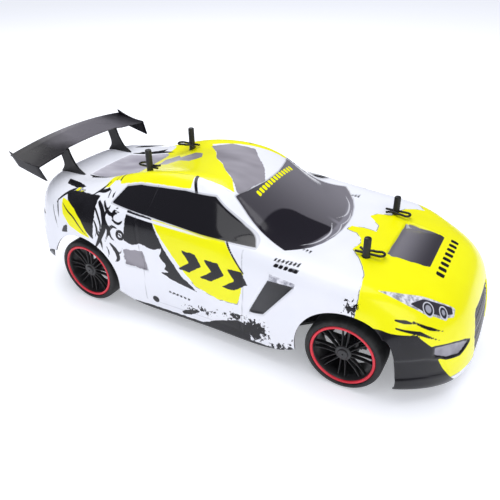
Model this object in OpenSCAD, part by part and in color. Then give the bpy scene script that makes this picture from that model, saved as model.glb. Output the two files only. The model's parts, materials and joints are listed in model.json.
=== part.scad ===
// RC drift car, 1:10 touring size, driven by its rear wheels.
// Frame: +X forward, +Y to the car's left, +Z up. The origin is on the ground,
// midway between the axles, under the centreline.

/* [Overall] */
// Distance between the front and rear axles
wheelbase = 260; // [258:0.5:262]
// Distance between the outer faces of the tyres
track_outer = 184; // [183:0.5:186]
// Diameter of a tyre
tyre_d = 64; // [63.5:0.25:64.5]
// Width of a tyre
tyre_w = 26; // [25:0.5:26]

/* [Body shell] */
// Wall of the formed shell
shell_t = 1.2; // [1:0.1:1.5]
// Radius of each wheel arch
arch_r = 40; // [39:0.5:41]
// Steps that each span of the shell's control net is cut into
shell_steps = 2; // [1:1:3]

/* [Rear wing] */
// Span of the wing, end plates included
wing_span = 161; // [150:1:164]
// How high the wing's middle arches over its tips
wing_arch = 6; // [4:0.5:8]

/* [Drive] */
// Teeth of the spur gear on the rear axle
spur_teeth = 44; // [43:1:45]
// Teeth of the motor pinion
pinion_teeth = 16; // [15:1:17]
// Share of the tooth pitch left free as backlash
backlash = 0.14; // [0.1:0.02:0.2]

/* [Wheels] */
// Pairs of spokes in a rim
spoke_pairs = 8; // [6:1:10]

/* [Springs] */
// Turns of a front spring
spring_turns = 5; // [4:1:7]

/* [Hidden] */
$fn = 48;

axle_x = wheelbase / 2;
axle_z = tyre_d / 2;
wheel_in = track_outer / 2 - tyre_w;     // inner face of a tyre, from the centreline
floor_z = 7;                             // underside of the chassis floor
floor_t = 2.5;
floor_top = floor_z + floor_t;
running = 0.05;                          // radial clearance of a running fit
pin_r = 1.5;
pin_bore = pin_r + running;
eye_bore = pin_r + 0.2;                  // a damper's lower eye has play, so that it can follow an arc

// Front suspension: two equal, level arms, so the hub carrier stays upright.
hinge_y = 22;
carrier_y = 50;
arm_low_z = 14;
arm_high_z = 44;
kingpin_y = 62;
arm_x = [-16, 16];                       // the arms' inner barrels, from the axle
carrier_half = 5.5;
ear = [6, 9];                            // the arms' outer ears, from the axle

// Front shocks, at shock_x from the axle. Eyes are [Y, Z].
shock_x = 12;
shock_top = [28, 62];
shock_low = [44, 21];

// Rear damper, beside the motor. Eyes are [X, Z].
damper_y = -17;
damper_front = [-60, 59];
damper_rear = [-121, 52];

// Steering
horn_axis_x = axle_x - 42;
horn_len = 18;
steer_pin = [axle_x - 24, 59];
link_z = [28, 31];

// Rear drive
pod_hinge = [-66, 14];                   // X and Z
gear_module = 0.8;
motor_drop = 14.5;                       // the motor lies this far under the level of the axle
centres = gear_module * (spur_teeth + pinion_teeth) / 2;
motor_x = -axle_x + centres * cos(motor_drop);
motor_z = axle_z - centres * sin(motor_drop);
motor_r = 13.6;
gear_y = [42, 48];
pod_side = [34, 38];

// Body posts
post_r = 3;
front_post = [127, 42];                  // X and Y
rear_post = [-86, 35];
front_shelf = 64;                        // top of the bridge that carries the front posts
rear_shelf = 70;
front_post_top = 112;
rear_post_top = 145;
front_clip_z = 97.8;
rear_clip_z = 128.3;
wire_r = 1.05;

black = "#1c1c20";
dark = "#2c2c31";
steel = "silver";

// ---------------------------------------------------------------- helpers
module box(low, high) {
    translate(low) cube(high - low);
}

module rod_x(r, x0, x1) {
    translate([x0, 0, 0]) rotate([0, 90, 0]) cylinder(r = r, h = x1 - x0);
}

module rod_y(r, y0, y1) {
    translate([0, y1, 0]) rotate([90, 0, 0]) cylinder(r = r, h = y1 - y0);
}

// Copies its children to both sides of the centreline.
module both_sides() {
    children();
    mirror([0, 1, 0]) children();
}

// Children drawn for the left side, moved to the side asked for: 1 for left, -1 for right.
module on_side(side) {
    mirror([0, side > 0 ? 0 : 1, 0]) children();
}

// ---------------------------------------------------------------- chassis
floor_outline = [[-60, 45], [72, 45], [92, 27], [152, 27], [166, 20]];
screw_spots = [
    [104, 0], [118, 12], [142, 12], [118, -12], [142, -12],
    [-56, 38], [-56, -38], [76, 6.5], [76, -6.5]
];

module chassis_tub() {
    lug_x = pod_hinge[0];
    color(black) difference() {
        union() {
            translate([0, 0, floor_z]) linear_extrude(floor_t)
                polygon(concat(floor_outline, [for (k = [len(floor_outline) - 1:-1:0])
                    [floor_outline[k][0], -floor_outline[k][1]]]));
            both_sides() box([-58, 42.5, floor_z], [66, 45, 24]);
            box([-52, 2, floor_z], [66, 4, 20]);
            both_sides() {
                box([lug_x, 20.4, floor_z], [-58, 26, pod_hinge[1] + 4]);
                translate([lug_x, 0, pod_hinge[1]]) rod_y(4, 20.4, 26);
            }
        }
        translate([lug_x, 0, pod_hinge[1]]) rod_y(pin_bore, -30, 30);
        for (p = screw_spots) translate([p[0], p[1], 0]) {
            cylinder(r = 1.6, h = 20);
            cylinder(r = 2.9, h = floor_z + 1.2);
        }
    }
}

module chassis_screws() {
    color(steel) for (p = screw_spots) translate([p[0], p[1], floor_z + 0.2]) difference() {
        union() {
            cylinder(r = 2.7, h = 1);
            cylinder(r = 1.5, h = 8);
        }
        cylinder(r = 1.25, h = 0.7, $fn = 6);
    }
}

// Screw holes in the underside of whatever stands on the floor.
module screw_sockets() {
    for (p = screw_spots) translate([p[0], p[1], floor_z]) cylinder(r = 1.55, h = 9);
}

module bumper_beam() {
    front = [[168, 18], [172, 36], [176, 60], [184, 63], [194, 48], [201, 24], [203, 0]];
    color(dark) translate([0, 0, floor_top]) linear_extrude(22)
        polygon(concat([for (p = front) p], [for (k = [len(front) - 2:-1:0]) [front[k][0], -front[k][1]]]));
}

module front_bulkhead() {
    color(black) difference() {
        union() {
            translate([axle_x, 0, 0]) {
                box([-19.5, -27, floor_top], [-16.5, 27, 50]);
                box([16.5, -27, floor_top], [20.5, 27, 58]);
                box([16.5, -33, 54], [20.5, 33, 67]);
                box([-17, -7, floor_top], [17, 7, 50]);
                box([-9, -7, 49], [17, 7, front_shelf]);
                box([-9, -47, front_shelf - 4], [3, 47, front_shelf]);
            }
            box([100, -7, floor_top], [axle_x - 17, 7, floor_top + 4]);
        }
        for (z = [arm_low_z, arm_high_z]) both_sides()
            translate([0, hinge_y, z]) rod_x(pin_bore, 100, 160);
        both_sides() translate([0, shock_top[0], shock_top[1]]) rod_x(pin_bore, 140, 160);
        // Room for the shock collars.
        for (side = [-1, 1]) front_shock(side) translate([0, 0, -10]) cylinder(r = 6.6, h = 4);
        screw_sockets();
    }
}

module rear_bulkhead() {
    color(black) difference() {
        union() {
            both_sides() {
                box([-59, 34, floor_top], [-53, 42, rear_shelf]);
                box([rear_post[0] - 6, 30, rear_shelf - 4], [-53, 40, rear_shelf]);
            }
            box([-59, -42, rear_shelf - 6], [-53, 42, rear_shelf]);
            box([damper_front[0] - 3, damper_y + 3, 55], [-53, damper_y + 7, rear_shelf]);
            translate([damper_front[0], 0, damper_front[1]]) rod_y(pin_r, damper_y - 3, damper_y + 4);
        }
        screw_sockets();
    }
}

module hinge_pins() {
    color(steel) {
        both_sides() {
            for (z = [arm_low_z, arm_high_z])
                translate([axle_x, hinge_y, z]) rod_x(pin_r, -20.5, 21.5);
            translate([axle_x, shock_top[0], shock_top[1]]) rod_x(pin_r, shock_x - 3, 21.5);
        }
        translate([pod_hinge[0], 0, pod_hinge[1]]) rod_y(pin_r, -27, 27);
    }
}

// ---------------------------------------------------------------- electrics
module battery_pack() {
    color("royalblue") difference() {
        box([-48, 6, floor_top + 0.1], [62, 40, 33]);
        for (x = [-11, 26]) box([x - 0.5, 5, 32], [x + 0.5, 41, 34]);
    }
}

module battery_strap() {
    color(dark) difference() {
        box([14, 4.5, floor_top + 0.1], [22, 41.5, 34.6]);
        box([13, 5.9, floor_top], [23, 40.1, 33.1]);
    }
}

switch_slot = [[-36, -27, 31], [-22, -21, 36]];
module control_box() {
    color(dark) difference() {
        union() {
            box([-48, -41, floor_top + 0.1], [8, -8, 32]);
            for (k = [0:6]) box([-12 + 2.6 * k, -38, 31], [-10.8 + 2.6 * k, -11, 38]);
        }
        box(switch_slot[0] - [0.3, 0.3, 2], switch_slot[1] + [0.3, 0.3, 2]);
    }
}

module power_switch() {
    low = switch_slot[0];
    color("red") {
        box([low[0], low[1], 29.4], [low[0] + 9, switch_slot[1][1], 31.4]);
        box([low[0] + 2.5, low[1] + 0.5, 31], [low[0] + 6.5, switch_slot[1][1] - 0.5, 35]);
    }
}

module steering_servo() {
    color(black) difference() {
        union() {
            box([71, -10, floor_top + 0.1], [96, 10, 25]);
            translate([horn_axis_x, 0, 20]) cylinder(r = 5, h = 7);
            translate([horn_axis_x, 0, 20]) cylinder(r = 2.5, h = 15);
        }
        screw_sockets();
    }
}

module servo_horn() {
    color("white") translate([horn_axis_x, 0, 31.4]) {
        difference() {
            union() {
                cylinder(r = 5, h = 2.6);
                linear_extrude(2.6) polygon([[0, -4.5], [0, 4.5], [horn_len, 2.8], [horn_len, -2.8]]);
                translate([horn_len, 0, 0]) cylinder(r = 2.8, h = 2.6);
            }
            translate([0, 0, -1]) cylinder(r = 2.5 + running, h = 5);
        }
        translate([horn_len, 0, -4]) cylinder(r = pin_r, h = 5);
    }
}

// The link slides across the car; its eyes are slots, for the arcs that the pins travel.
module link_eye(x0, x1, grow) {
    for (x = [x0, x1]) translate([x, 0, 0]) cylinder(r = 1.95 + grow, h = link_z[1] - link_z[0]);
    box([x0, -1.95 - grow, 0], [x1, 1.95 + grow, link_z[1] - link_z[0]]);
}

module steering_link() {
    pin_x = steer_pin[0];
    horn_x = horn_axis_x + horn_len;
    color(steel) translate([0, 0, link_z[0]]) difference() {
        union() {
            both_sides() translate([0, steer_pin[1], 0]) link_eye(pin_x, pin_x + 2.9, 1.5);
            link_eye(horn_x - 2.5, horn_x, 2.5);
            box([pin_x - 2, -steer_pin[1], 0], [pin_x + 2, steer_pin[1], 3]);
        }
        both_sides() translate([0, steer_pin[1], -1]) scale([1, 1, 2]) link_eye(pin_x, pin_x + 2.9, 0);
        translate([0, 0, -1]) scale([1, 1, 2]) link_eye(horn_x - 2.5, horn_x, 0);
    }
}

// ---------------------------------------------------------------- spur gears
function involute(base_r, a) = base_r * [cos(a) + a * PI / 180 * sin(a), sin(a) - a * PI / 180 * cos(a)];
function turned(p, a) = [p[0] * cos(a) - p[1] * sin(a), p[0] * sin(a) + p[1] * cos(a)];

// Outline of an involute gear with 20 degree flanks and a tooth on the X axis.
module gear_outline(teeth) {
    pitch_r = teeth * gear_module / 2;
    base_r = pitch_r * cos(20);
    tip_r = pitch_r + 0.9 * gear_module;
    root_r = pitch_r - 1.2 * gear_module;
    half = 90 / teeth * (1 - backlash) + tan(20) * 180 / PI - 20;
    tip_a = sqrt(pow(tip_r / base_r, 2) - 1) * 180 / PI;
    flank = [for (k = [0:3]) turned(involute(base_r, tip_a * k / 3), -half)];
    tooth = concat(
        [turned([root_r, 0], -half)], flank,
        [for (k = [3:-1:0]) [flank[k][0], -flank[k][1]]], [turned([root_r, 0], half)]);
    polygon([for (t = [0:teeth - 1]) for (p = tooth) turned(p, 360 * t / teeth)]);
}

// Gear on an axis along Y, turned by a.
module gear_y_axis(teeth, a) {
    translate([0, gear_y[0], 0]) rotate([-90, 0, 0]) rotate(a)
        linear_extrude(gear_y[1] - gear_y[0]) gear_outline(teeth);
}

module spur_gear() {
    color("white") translate([-axle_x, 0, axle_z]) difference() {
        union() {
            gear_y_axis(spur_teeth, motor_drop);
            rod_y(6, 39, 50);
        }
        rod_y(3, 30, 60);
        for (a = [0:60:300]) rotate([0, a, 0]) translate([10.5, 0, 0]) rod_y(3, 30, 60);
    }
}

module motor_pinion() {
    color("goldenrod") translate([motor_x, 0, motor_z]) {
        rod_y(1.6, 20, 49);
        gear_y_axis(pinion_teeth, motor_drop + 180 + 180 / pinion_teeth);
    }
}

module motor_can() {
    color(steel) translate([motor_x, 0, motor_z]) difference() {
        union() {
            rod_y(motor_r, -2, pod_side[0] - 0.1);
            rod_y(5, 33, pod_side[1]);
            rod_y(11, -6, 0);
        }
        rod_y(1.6 + running, 19, 60);
        for (a = [45:90:315]) rotate([0, a, 0]) box([-3, -1, motor_r - 3], [3, 3, motor_r + 1]);
    }
}

// ---------------------------------------------------------------- rear pod
// The pod swings on a cross pin at the tub's tail, and carries the motor and the solid rear axle.
module drive_pod() {
    ear_x = damper_rear[0];
    color(black) difference() {
        union() {
            box([-150, -pod_side[1], 10.5], [-73, pod_side[1], 13]);
            box([-74, -20, 10.5], [pod_hinge[0], 20, 13]);
            translate([pod_hinge[0], 0, pod_hinge[1]]) rod_y(3.5, -20, 20);
            both_sides() {
                box([-148, pod_side[0], 10.5], [-91, pod_side[1], 30]);
                box([-142, pod_side[0], 29], [-97, pod_side[1], 42]);
            }
            box([ear_x - 4, damper_y + 3, 10.5], [ear_x + 4, damper_y + 7, damper_rear[1] + 3]);
            translate([ear_x, 0, damper_rear[1]]) rod_y(pin_r, damper_y - 3, damper_y + 4);
        }
        translate([pod_hinge[0], 0, pod_hinge[1]]) rod_y(pin_bore, -30, 30);
        translate([-axle_x, 0, axle_z]) rod_y(3 + running, -60, 60);
        translate([motor_x, 0, motor_z]) {
            rod_y(5 + running, 30, 60);
            rod_y(motor_r + 0.15, -3, pod_side[0]);   // saddle under the motor
        }
    }
}

module rear_axle() {
    end = wheel_in + 19;
    color(steel) translate([-axle_x, 0, axle_z]) {
        rod_y(3, -wheel_in - 5, wheel_in + 5);
        rod_y(2.5, -end, end);
    }
}

// ---------------------------------------------------------------- dampers
// A damper hangs from the origin along -Z, with its eyes' axes along X. travel is the room it has.
module damper_cylinder(r, long, eye_w) {
    difference() {
        union() {
            rod_x(3.6, -eye_w / 2, eye_w / 2);
            translate([0, 0, -7]) cylinder(r = 2.4, h = 6);
            translate([0, 0, -long]) cylinder(r = r, h = long - 5);
            translate([0, 0, -9]) cylinder(r = r + 2.2, h = 2);
        }
        rod_x(pin_bore, -10, 10);
        translate([0, 0, -long - 1]) cylinder(r = pin_r - 0.2 + running, h = long - 7);
    }
}

module damper_piston(span, from, eye_w) {
    difference() {
        union() {
            translate([0, 0, -span]) rod_x(3.4, -eye_w / 2, eye_w / 2);
            translate([0, 0, -span + 2]) cylinder(r = pin_r - 0.2, h = span - 2 - from);
            translate([0, 0, -span + 3]) cylinder(r = 2.2, h = 2.4);
            translate([0, 0, -span + 5]) cylinder(r = 6.2, h = 1.6);
        }
        translate([0, 0, -span]) rod_x(eye_bore, -10, 10);
    }
}

// A closed tube through a list of rings.
module tube(rings) {
    sides = len(rings[0]);
    end = (len(rings) - 1) * sides;
    polyhedron([for (ring = rings) each ring], concat(
        [for (k = [0:len(rings) - 2]) for (s = [0:sides - 1])
            let (a = k * sides + s, b = k * sides + (s + 1) % sides)
                each [[a, a + sides, b + sides], [a, b + sides, b]]],
        [[for (s = [0:sides - 1]) s]], [[for (s = [sides - 1:-1:0]) end + s]]));
}

// A coil of round wire from z0 up to z1.
module coil(r, wire, turns, z0, z1) {
    steps = 12 * turns;
    tube([for (k = [0:steps]) let (a = 30 * k, z = z0 + (z1 - z0) * k / steps)
        [for (b = [0:60:300]) let (d = r + wire * cos(b)) [d * cos(a), d * sin(a), z + wire * sin(b)]]]);
}

module front_shock(side) {
    v = shock_low - shock_top;
    on_side(side) translate([axle_x + shock_x, shock_top[0], shock_top[1]])
        rotate([atan2(v[0], -v[1]), 0, 0]) children();
}
shock_span = norm(shock_low - shock_top);

module rear_damper() {
    v = damper_rear - damper_front;
    translate([damper_front[0], damper_y, damper_front[1]])
        rotate([0, atan2(-v[0], -v[1]), 0]) rotate([0, 0, 90]) children();
}
damper_span = norm(damper_rear - damper_front);

// ---------------------------------------------------------------- front suspension, left side
// An arm seen from above, as [X from the axle, Y]: an inner barrel, a web and two outer ears.
module arm(z, web, barrel) {
    translate([axle_x, 0, z]) difference() {
        union() {
            translate([0, 0, -2.4]) linear_extrude(4.8) polygon(web);
            translate([0, hinge_y, 0]) rod_x(3.6, barrel[0], barrel[1]);
            translate([0, carrier_y, 0]) rod_x(3.4, -ear[1], ear[1]);
        }
        box([-ear[0], carrier_y - 6, -5], [ear[0], carrier_y + 5, 5]);
        translate([0, hinge_y, 0]) rod_x(pin_bore, -20, 20);
        translate([0, carrier_y, 0]) rod_x(pin_bore, -20, 20);
    }
}

module lower_arm(side) {
    web = [[-16, hinge_y], [16, hinge_y], [16, 32], [9, 42], [9, carrier_y], [-9, carrier_y], [-9, 42], [-16, 32]];
    color(dark) on_side(side) {
        difference() {
            arm(arm_low_z, web, arm_x);
            box([axle_x - 6, 29, 0], [axle_x + 6, 36, 30]);
        }
        box([axle_x + 6, 40.6, arm_low_z], [axle_x + 8.6, 47.4, shock_low[1]]);
        translate([axle_x, shock_low[0], shock_low[1]]) rod_x(3.4, 6, 8.6);
        translate([axle_x, shock_low[0], shock_low[1]]) rod_x(pin_r, 6, shock_x + 3.5);
    }
}

module upper_arm(side) {
    web = [[-16, hinge_y], [3, hinge_y], [3, 40], [9, 45], [9, carrier_y], [-9, carrier_y], [-9, 42], [-16, 32]];
    color(dark) on_side(side) arm(arm_high_z, web, [arm_x[0], 3]);
}

module hub_carrier(side) {
    w = carrier_half;
    color(black) on_side(side) translate([axle_x, 0, 0]) {
        box([-w, carrier_y - 3, 11], [w, carrier_y + 3, 47]);
        for (z = [16.5, 41]) {
            box([-w, carrier_y, z], [w, kingpin_y, z + 4.5]);
            translate([0, kingpin_y, z]) cylinder(r = w, h = 4.5);
        }
        translate([0, kingpin_y, 17]) cylinder(r = pin_r, h = 28);
        for (z = [arm_low_z, arm_high_z]) translate([0, carrier_y, z]) rod_x(pin_r, -ear[1] - 0.5, ear[1] + 0.5);
    }
}

module knuckle(side) {
    low = 21.3;
    color(dark) on_side(side) {
        difference() {
            union() {
                translate([axle_x, kingpin_y, low]) cylinder(r = 4.8, h = 19.4);
                translate([axle_x, 0, axle_z]) rod_y(6, kingpin_y, wheel_in + 4);
                translate([0, 0, low]) linear_extrude(3)
                    polygon([[axle_x, kingpin_y - 3.5], [axle_x, kingpin_y + 3],
                             [steer_pin[0], steer_pin[1] + 2.6], [steer_pin[0], steer_pin[1] - 2.6]]);
                translate([steer_pin[0], steer_pin[1], low]) cylinder(r = 2.6, h = 3);
            }
            translate([axle_x, kingpin_y, 0]) cylinder(r = pin_bore, h = 60);
            translate([axle_x, 0, axle_z]) rod_y(2.5, kingpin_y + 2.2, wheel_in + 10);
        }
        translate([steer_pin[0], steer_pin[1], low + 1]) cylinder(r = pin_r, h = 12.7);
    }
}

module stub_axle(side) {
    color(steel) on_side(side) translate([axle_x, 0, axle_z]) {
        rod_y(2.5, kingpin_y + 2.4, wheel_in + 19);
        rod_y(4, wheel_in + 4, wheel_in + 5.4);
    }
}

// ---------------------------------------------------------------- wheels
// Wheels are drawn about the Y axis, with the tyre's inner face at Y = 0, and placed by wheel().
module wheel(x, side) {
    on_side(side) translate([x, wheel_in, axle_z]) children();
}

// A section [radius, Y] turned about the Y axis.
module turned_y(section) {
    rotate([-90, 0, 0]) rotate_extrude($fn = 96) polygon(section);
}

rim_r = 26.4;                            // seat of the tyre
module rim() {
    w = tyre_w;
    spoke_y = [w - 8, w - 4.7];
    pair_half = 2.5;
    spoke_foot = pair_half / tan(180 / spoke_pairs) + 0.1;   // just outside the crossing of two pairs
    hub_r = norm([spoke_foot, pair_half]) + 0.3;
    color(black) {
        turned_y([[23.6, 0.6], [28, 0.6], [28, 2], [rim_r, 3], [rim_r, w - 3], [27.4, w - 2], [27.4, w - 0.6],
                  [24.2, w - 0.6], [23.4, w - 4], [23.4, w - 9], [24.4, w - 12]]);
        difference() {
            union() {
                rod_y(hub_r, 6, w - 4);
                rod_y(3.8, w - 5, w - 2.5);
                for (k = [0:spoke_pairs - 1]) rotate([0, 360 / spoke_pairs * k, 0])
                    for (x = [0.6 - pair_half, pair_half - 0.6])
                        box([x - 0.6, spoke_y[0], spoke_foot], [x + 0.6, spoke_y[1], 23.9]);
            }
            rod_y(2.5 + running, 0, 19.2);
        }
    }
}

module tyre() {
    r = tyre_d / 2;
    w = tyre_w;
    color(dark) turned_y([[28.1, 0], [r - 3, 0], [r - 1, 0.7], [r - 0.2, 2.4], [r, 5], [r, w - 5], [r - 0.2, w - 2.4],
        [r - 1, w - 0.7], [r - 3, w], [27.5, w], [27.5, w - 2], [rim_r + 0.1, w - 3.1], [rim_r + 0.1, 3.1],
        [28.1, 2.1]]);
}

// ---------------------------------------------------------------- posts and clips
// A post with a foot and a cross hole for its clip.
module post(spot, base, top, clip_z) {
    translate([spot[0], spot[1], 0]) difference() {
        union() {
            translate([0, 0, base]) cylinder(r = post_r, h = top - base - 1);
            translate([0, 0, base]) cylinder(r = 5, h = 3);
            translate([0, 0, top - 1]) cylinder(r1 = post_r, r2 = post_r - 1, h = 1);
        }
        translate([0, 0, clip_z]) rod_x(wire_r + 0.15, -9, 9);
    }
}

module body_posts() {
    color(black) both_sides() {
        post(front_post, front_shelf, front_post_top, front_clip_z);
        post(rear_post, rear_shelf, rear_post_top, rear_clip_z);
    }
}

// A sprung pin of bent wire: a straight leg through the post, an eye, and a bent leg beside the post.
// Drawn for the left side; the eye points along pull, 1 forward or -1 rearward.
function wire_ring(p, d) = let (n = [-d[1], d[0], 0] / norm(d))
    [for (b = [0:45:315]) [p[0], p[1], 0] + wire_r * (cos(b) * n + [0, 0, sin(b)])];
module clip(spot, z, side, pull) {
    beside = post_r + wire_r + 0.15;
    eye_r = 3.6;
    path = concat(
        [[-9, 0], [2, 0]],
        [for (a = [-90:22.5:90]) [10 + eye_r * cos(a), eye_r + eye_r * sin(a)]],
        [[6, beside + 1.6], [3.5, beside + 1.8], [0, beside], [-4, beside + 0.4], [-7, beside + 2.6]]);
    end = len(path) - 1;
    color(steel) on_side(side) translate([spot[0], spot[1], z]) mirror([pull > 0 ? 0 : 1, 0, 0]) mirror([0, 1, 0])
        tube([for (k = [0:end]) wire_ring(path[k], path[min(k + 1, end)] - path[max(k - 1, 0)])]);
}

// ---------------------------------------------------------------- body shell
// Control net of the shell's left half. Each rib is [X on the centreline, X at the side, power of the
// plan curve between them, the rib's points as [Y, Z] from the centreline to the lower edge].
last = 8;
level_y = [0, 18, 34, 48, 60, 72, 82, 89, 92];
function level_rib(xc, xs, zs) = [xc, xs, 3.4, [for (k = [0:last]) [level_y[k], zs[k]]]];
door = [[89, 98], [93, 68], [89, 13]];   // shoulder, widest point and sill
RIBS = [
    level_rib(213, 172, [8, 8, 8, 9, 10, 12, 14, 16, 17]),
    level_rib(221, 174, [10, 10, 10, 11, 12, 14, 16, 18, 19]),
    level_rib(221, 172, [32, 32, 32, 32, 32, 33, 34, 35, 36]),
    level_rib(216, 168, [58, 58, 58, 58, 58, 57, 56, 54, 52]),
    level_rib(207, 160, [77, 77, 77, 76, 75, 73, 71, 69, 64]),
    [188, 150, 2.8, [[0, 87.5], [18, 87.5], [34, 87.5], [48, 87.5], [60, 86.5], [71, 84.5], [81, 80], [89, 68], [93, 50]]],
    [165, 135, 2.2, [[0, 92], [18, 92.5], [34, 92.5], [48, 92], [60, 91], [75, 93], [86, 89], [93, 76], [95, 45]]],
    [135, 112, 2, [[0, 95], [18, 95.5], [34, 95.5], [48, 95], [60, 94.5], [75, 95.5], [87, 91], [93, 77], [95, 45]]],
    [110, 85, 2, [[0, 94.5], [18, 95], [34, 95.5], [48, 95.5], [60, 95.5], [76, 97.5], [88, 93], [93, 74], [91, 13]]],
    [94, 34, 2, [[0, 92], [18, 92], [34, 92.5], [48, 94.5], [60, 97.5], [78, 102.5], [88, 97], [93, 70], [90, 13]]],
    [55, 12, 2, [[0, 112], [18, 112], [34, 111.5], [46, 110], [56, 107], [80, 105], door[0], door[1], door[2]]],
    [22, 2, 2, [[0, 131], [18, 130.5], [34, 130], [46, 128.5], [55, 125], [81, 106.5], door[0], door[1], door[2]]],
    [-8, -12, 2, [[0, 135], [18, 135], [34, 135], [47, 135.5], [57, 132], [82, 107], door[0], door[1], door[2]]],
    [-42, -42, 2, [[0, 133], [18, 133], [34, 134], [47, 137], [57, 132.5], [82, 108.5], [89, 99], [92.5, 68], door[2]]],
    [-76, -74, 2, [[0, 125], [18, 125], [34, 125.5], [46, 132.5], [56, 129], [80, 110], [89, 100], [93, 70], [90, 13]]],
    [-112, -104, 2, [[0, 112], [18, 112], [33, 112.5], [45, 121], [55, 119], [76, 108.5], [88, 99], [95, 76], [94, 30]]],
    [-150, -134, 2, [[0, 104.5], [18, 104.5], [33, 104.5], [46, 106.5], [58, 108], [77, 106], [89, 98], [96, 78], [95, 42]]],
    [-186, -156, 2.6, [[0, 104], [20, 104], [36, 104], [48, 104], [60, 104], [75, 102], [86, 94], [92, 74], [93, 44]]],
    level_rib(-207, -168, [105.5, 105.5, 105, 104, 102, 97, 89, 75, 46]),
    level_rib(-214, -174, [90, 90, 90, 89, 87, 84, 79, 68, 46]),
    level_rib(-217, -178, [72, 72, 72, 71, 70, 68, 64, 57, 44]),
    level_rib(-215, -177, [52, 52, 52, 52, 52, 51, 49, 46, 41]),
    level_rib(-207, -171, [45, 45, 45, 45, 45, 45, 44, 41, 38])
];
function rib_point(rib, k) = let (p = rib[3][k])
    [rib[0] + (rib[1] - rib[0]) * pow(p[0] / rib[3][last][0], rib[2]), p[0], p[1]];
NET = [for (rib = RIBS) [for (k = [0:last]) rib_point(rib, k)]];

// Weights of a uniform cubic B-spline at share t of a span.
function weights(t) = [pow(1 - t, 3), 3 * t * t * t - 6 * t * t + 4, -3 * t * t * t + 3 * t * t + 3 * t + 1, t * t * t] / 6;
function mirror_y(p) = [p[0], -p[1], p[2]];
// Point k of a list, run on in a straight line past either end.
function beyond(list, k) = k < 0 ? 2 * list[0] - list[1]
    : k >= len(list) ? 2 * list[len(list) - 1] - list[len(list) - 2] : list[k];
// Point k of a rib, mirrored past the centreline and run on past the lower edge.
function across(rib, k) = k < 0 ? mirror_y(rib[-k]) : beyond(rib, k);
function spline(points, t) = let (w = weights(t)) w[0] * points[0] + w[1] * points[1] + w[2] * points[2] + w[3] * points[3];
// The net's point at i along the car and j across it, both in spans.
function shell_point(i, j) = let (
        a = min(floor(i), len(NET) - 2), b = min(floor(j), last - 1),
        rows = [for (k = [-1:2]) [for (n = [-1:2])
            let (row = a + k) row < 0 || row >= len(NET)
                ? 2 * across(NET[row < 0 ? 0 : row - 1], b + n) - across(NET[row < 0 ? 1 : row - 2], b + n)
                : across(NET[row], b + n)]],
        columns = [for (row = rows) spline(row, j - b)])
    spline(columns, i - a);
shell_rows = (len(NET) - 1) * shell_steps;
shell_half = last * shell_steps;
HALF_GRID = [for (i = [0:shell_rows]) [for (j = [0:shell_half]) shell_point(i / shell_steps, j / shell_steps)]];
SHELL = [for (row = HALF_GRID) concat([for (j = [shell_half:-1:1]) mirror_y(row[j])], row)];

// The grid moved inwards by t, along the normal between each point's neighbours.
function unit(v) = v / norm(v);
function inset(grid, t) = let (rows = len(grid) - 1, columns = len(grid[0]) - 1)
    [for (i = [0:rows]) [for (j = [0:columns]) let (
        along = grid[min(i + 1, rows)][j] - grid[max(i - 1, 0)][j],
        over = grid[i][min(j + 1, columns)] - grid[i][max(j - 1, 0)])
        grid[i][j] - t * unit(cross(over, along))]];

// A closed sheet between a grid of points and the same grid moved inwards.
module sheet(grid, t) {
    rows = len(grid) - 1;
    columns = len(grid[0]) - 1;
    width = columns + 1;
    layer = width * (rows + 1);
    rim = concat(
        [for (j = [0:columns - 1]) j], [for (i = [0:rows - 1]) i * width + columns],
        [for (j = [columns:-1:1]) rows * width + j], [for (i = [rows:-1:1]) i * width]);
    quads = [for (i = [0:rows - 1]) for (j = [0:columns - 1]) i * width + j];
    polyhedron(
        [for (g = [grid, inset(grid, t)]) for (row = g) each row],
        concat(
            [for (a = quads) each [[a, a + 1, a + width + 1], [a, a + width + 1, a + width]]],
            [for (q = quads) let (a = q + layer) each [[a, a + width + 1, a + 1], [a, a + width, a + width + 1]]],
            [for (k = [0:len(rim) - 1]) let (a = rim[k], b = rim[(k + 1) % len(rim)])
                each [[a, a + layer, b + layer], [a, b + layer, b]]]));
}

module body_shell() {
    color("yellow") difference() {
        sheet(SHELL, shell_t);
        both_sides() for (x = [-axle_x, axle_x]) translate([x, 0, axle_z]) rod_y(arch_r, 70, 110);
        both_sides() for (p = [front_post, rear_post]) translate([p[0], p[1], 60]) cylinder(r = post_r + 0.6, h = 100);
    }
}

// ---------------------------------------------------------------- rear wing
wing_front = -184;
wing_back = -220.2;
wing_low = 125;
strut_y = 36;
deck_z = 104.8;                          // just clear of the boot lid
// The blade's height at X and Y: it rises to the rear and arches over its span.
function blade_z(x, y) = let (t = (wing_front - x) / (wing_front - wing_back))
    wing_low + 6 * t * t + wing_arch * (1 - pow(2 * y / wing_span, 2));

// The lower edge of the end plate at chord share t, which leans forward and in.
function plate_low(t, side) = [wing_front + 6 - 35 * t, side * (wing_span / 2 - 3), 112 + 8 * t];

module rear_wing() {
    half = wing_span / 2 - 0.5;
    chord = [for (k = [0:6]) k / 6];
    color(black) sheet([for (t = chord) let (x = wing_front + (wing_back - wing_front) * t) concat(
        [plate_low(t, -1)],
        [for (k = [0:12]) let (y = -half + half * k / 6) [x, y, blade_z(x, y)]],
        [plate_low(t, 1)])], 1.6);
}

// Each strut reaches from the boot lid back and up to the blade.
module wing_struts() {
    under = 2.1;
    color(black) both_sides() translate([0, strut_y + 1.25, 0]) rotate([90, 0, 0]) linear_extrude(2.5)
        polygon([[-198, deck_z - 1.3], [-191, deck_z - 0.3], [-168, deck_z + 0.1], [-176, deck_z + 4],
                 [-186, blade_z(-186, strut_y) - under], [-201, blade_z(-201, strut_y) - under]]);
}

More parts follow.
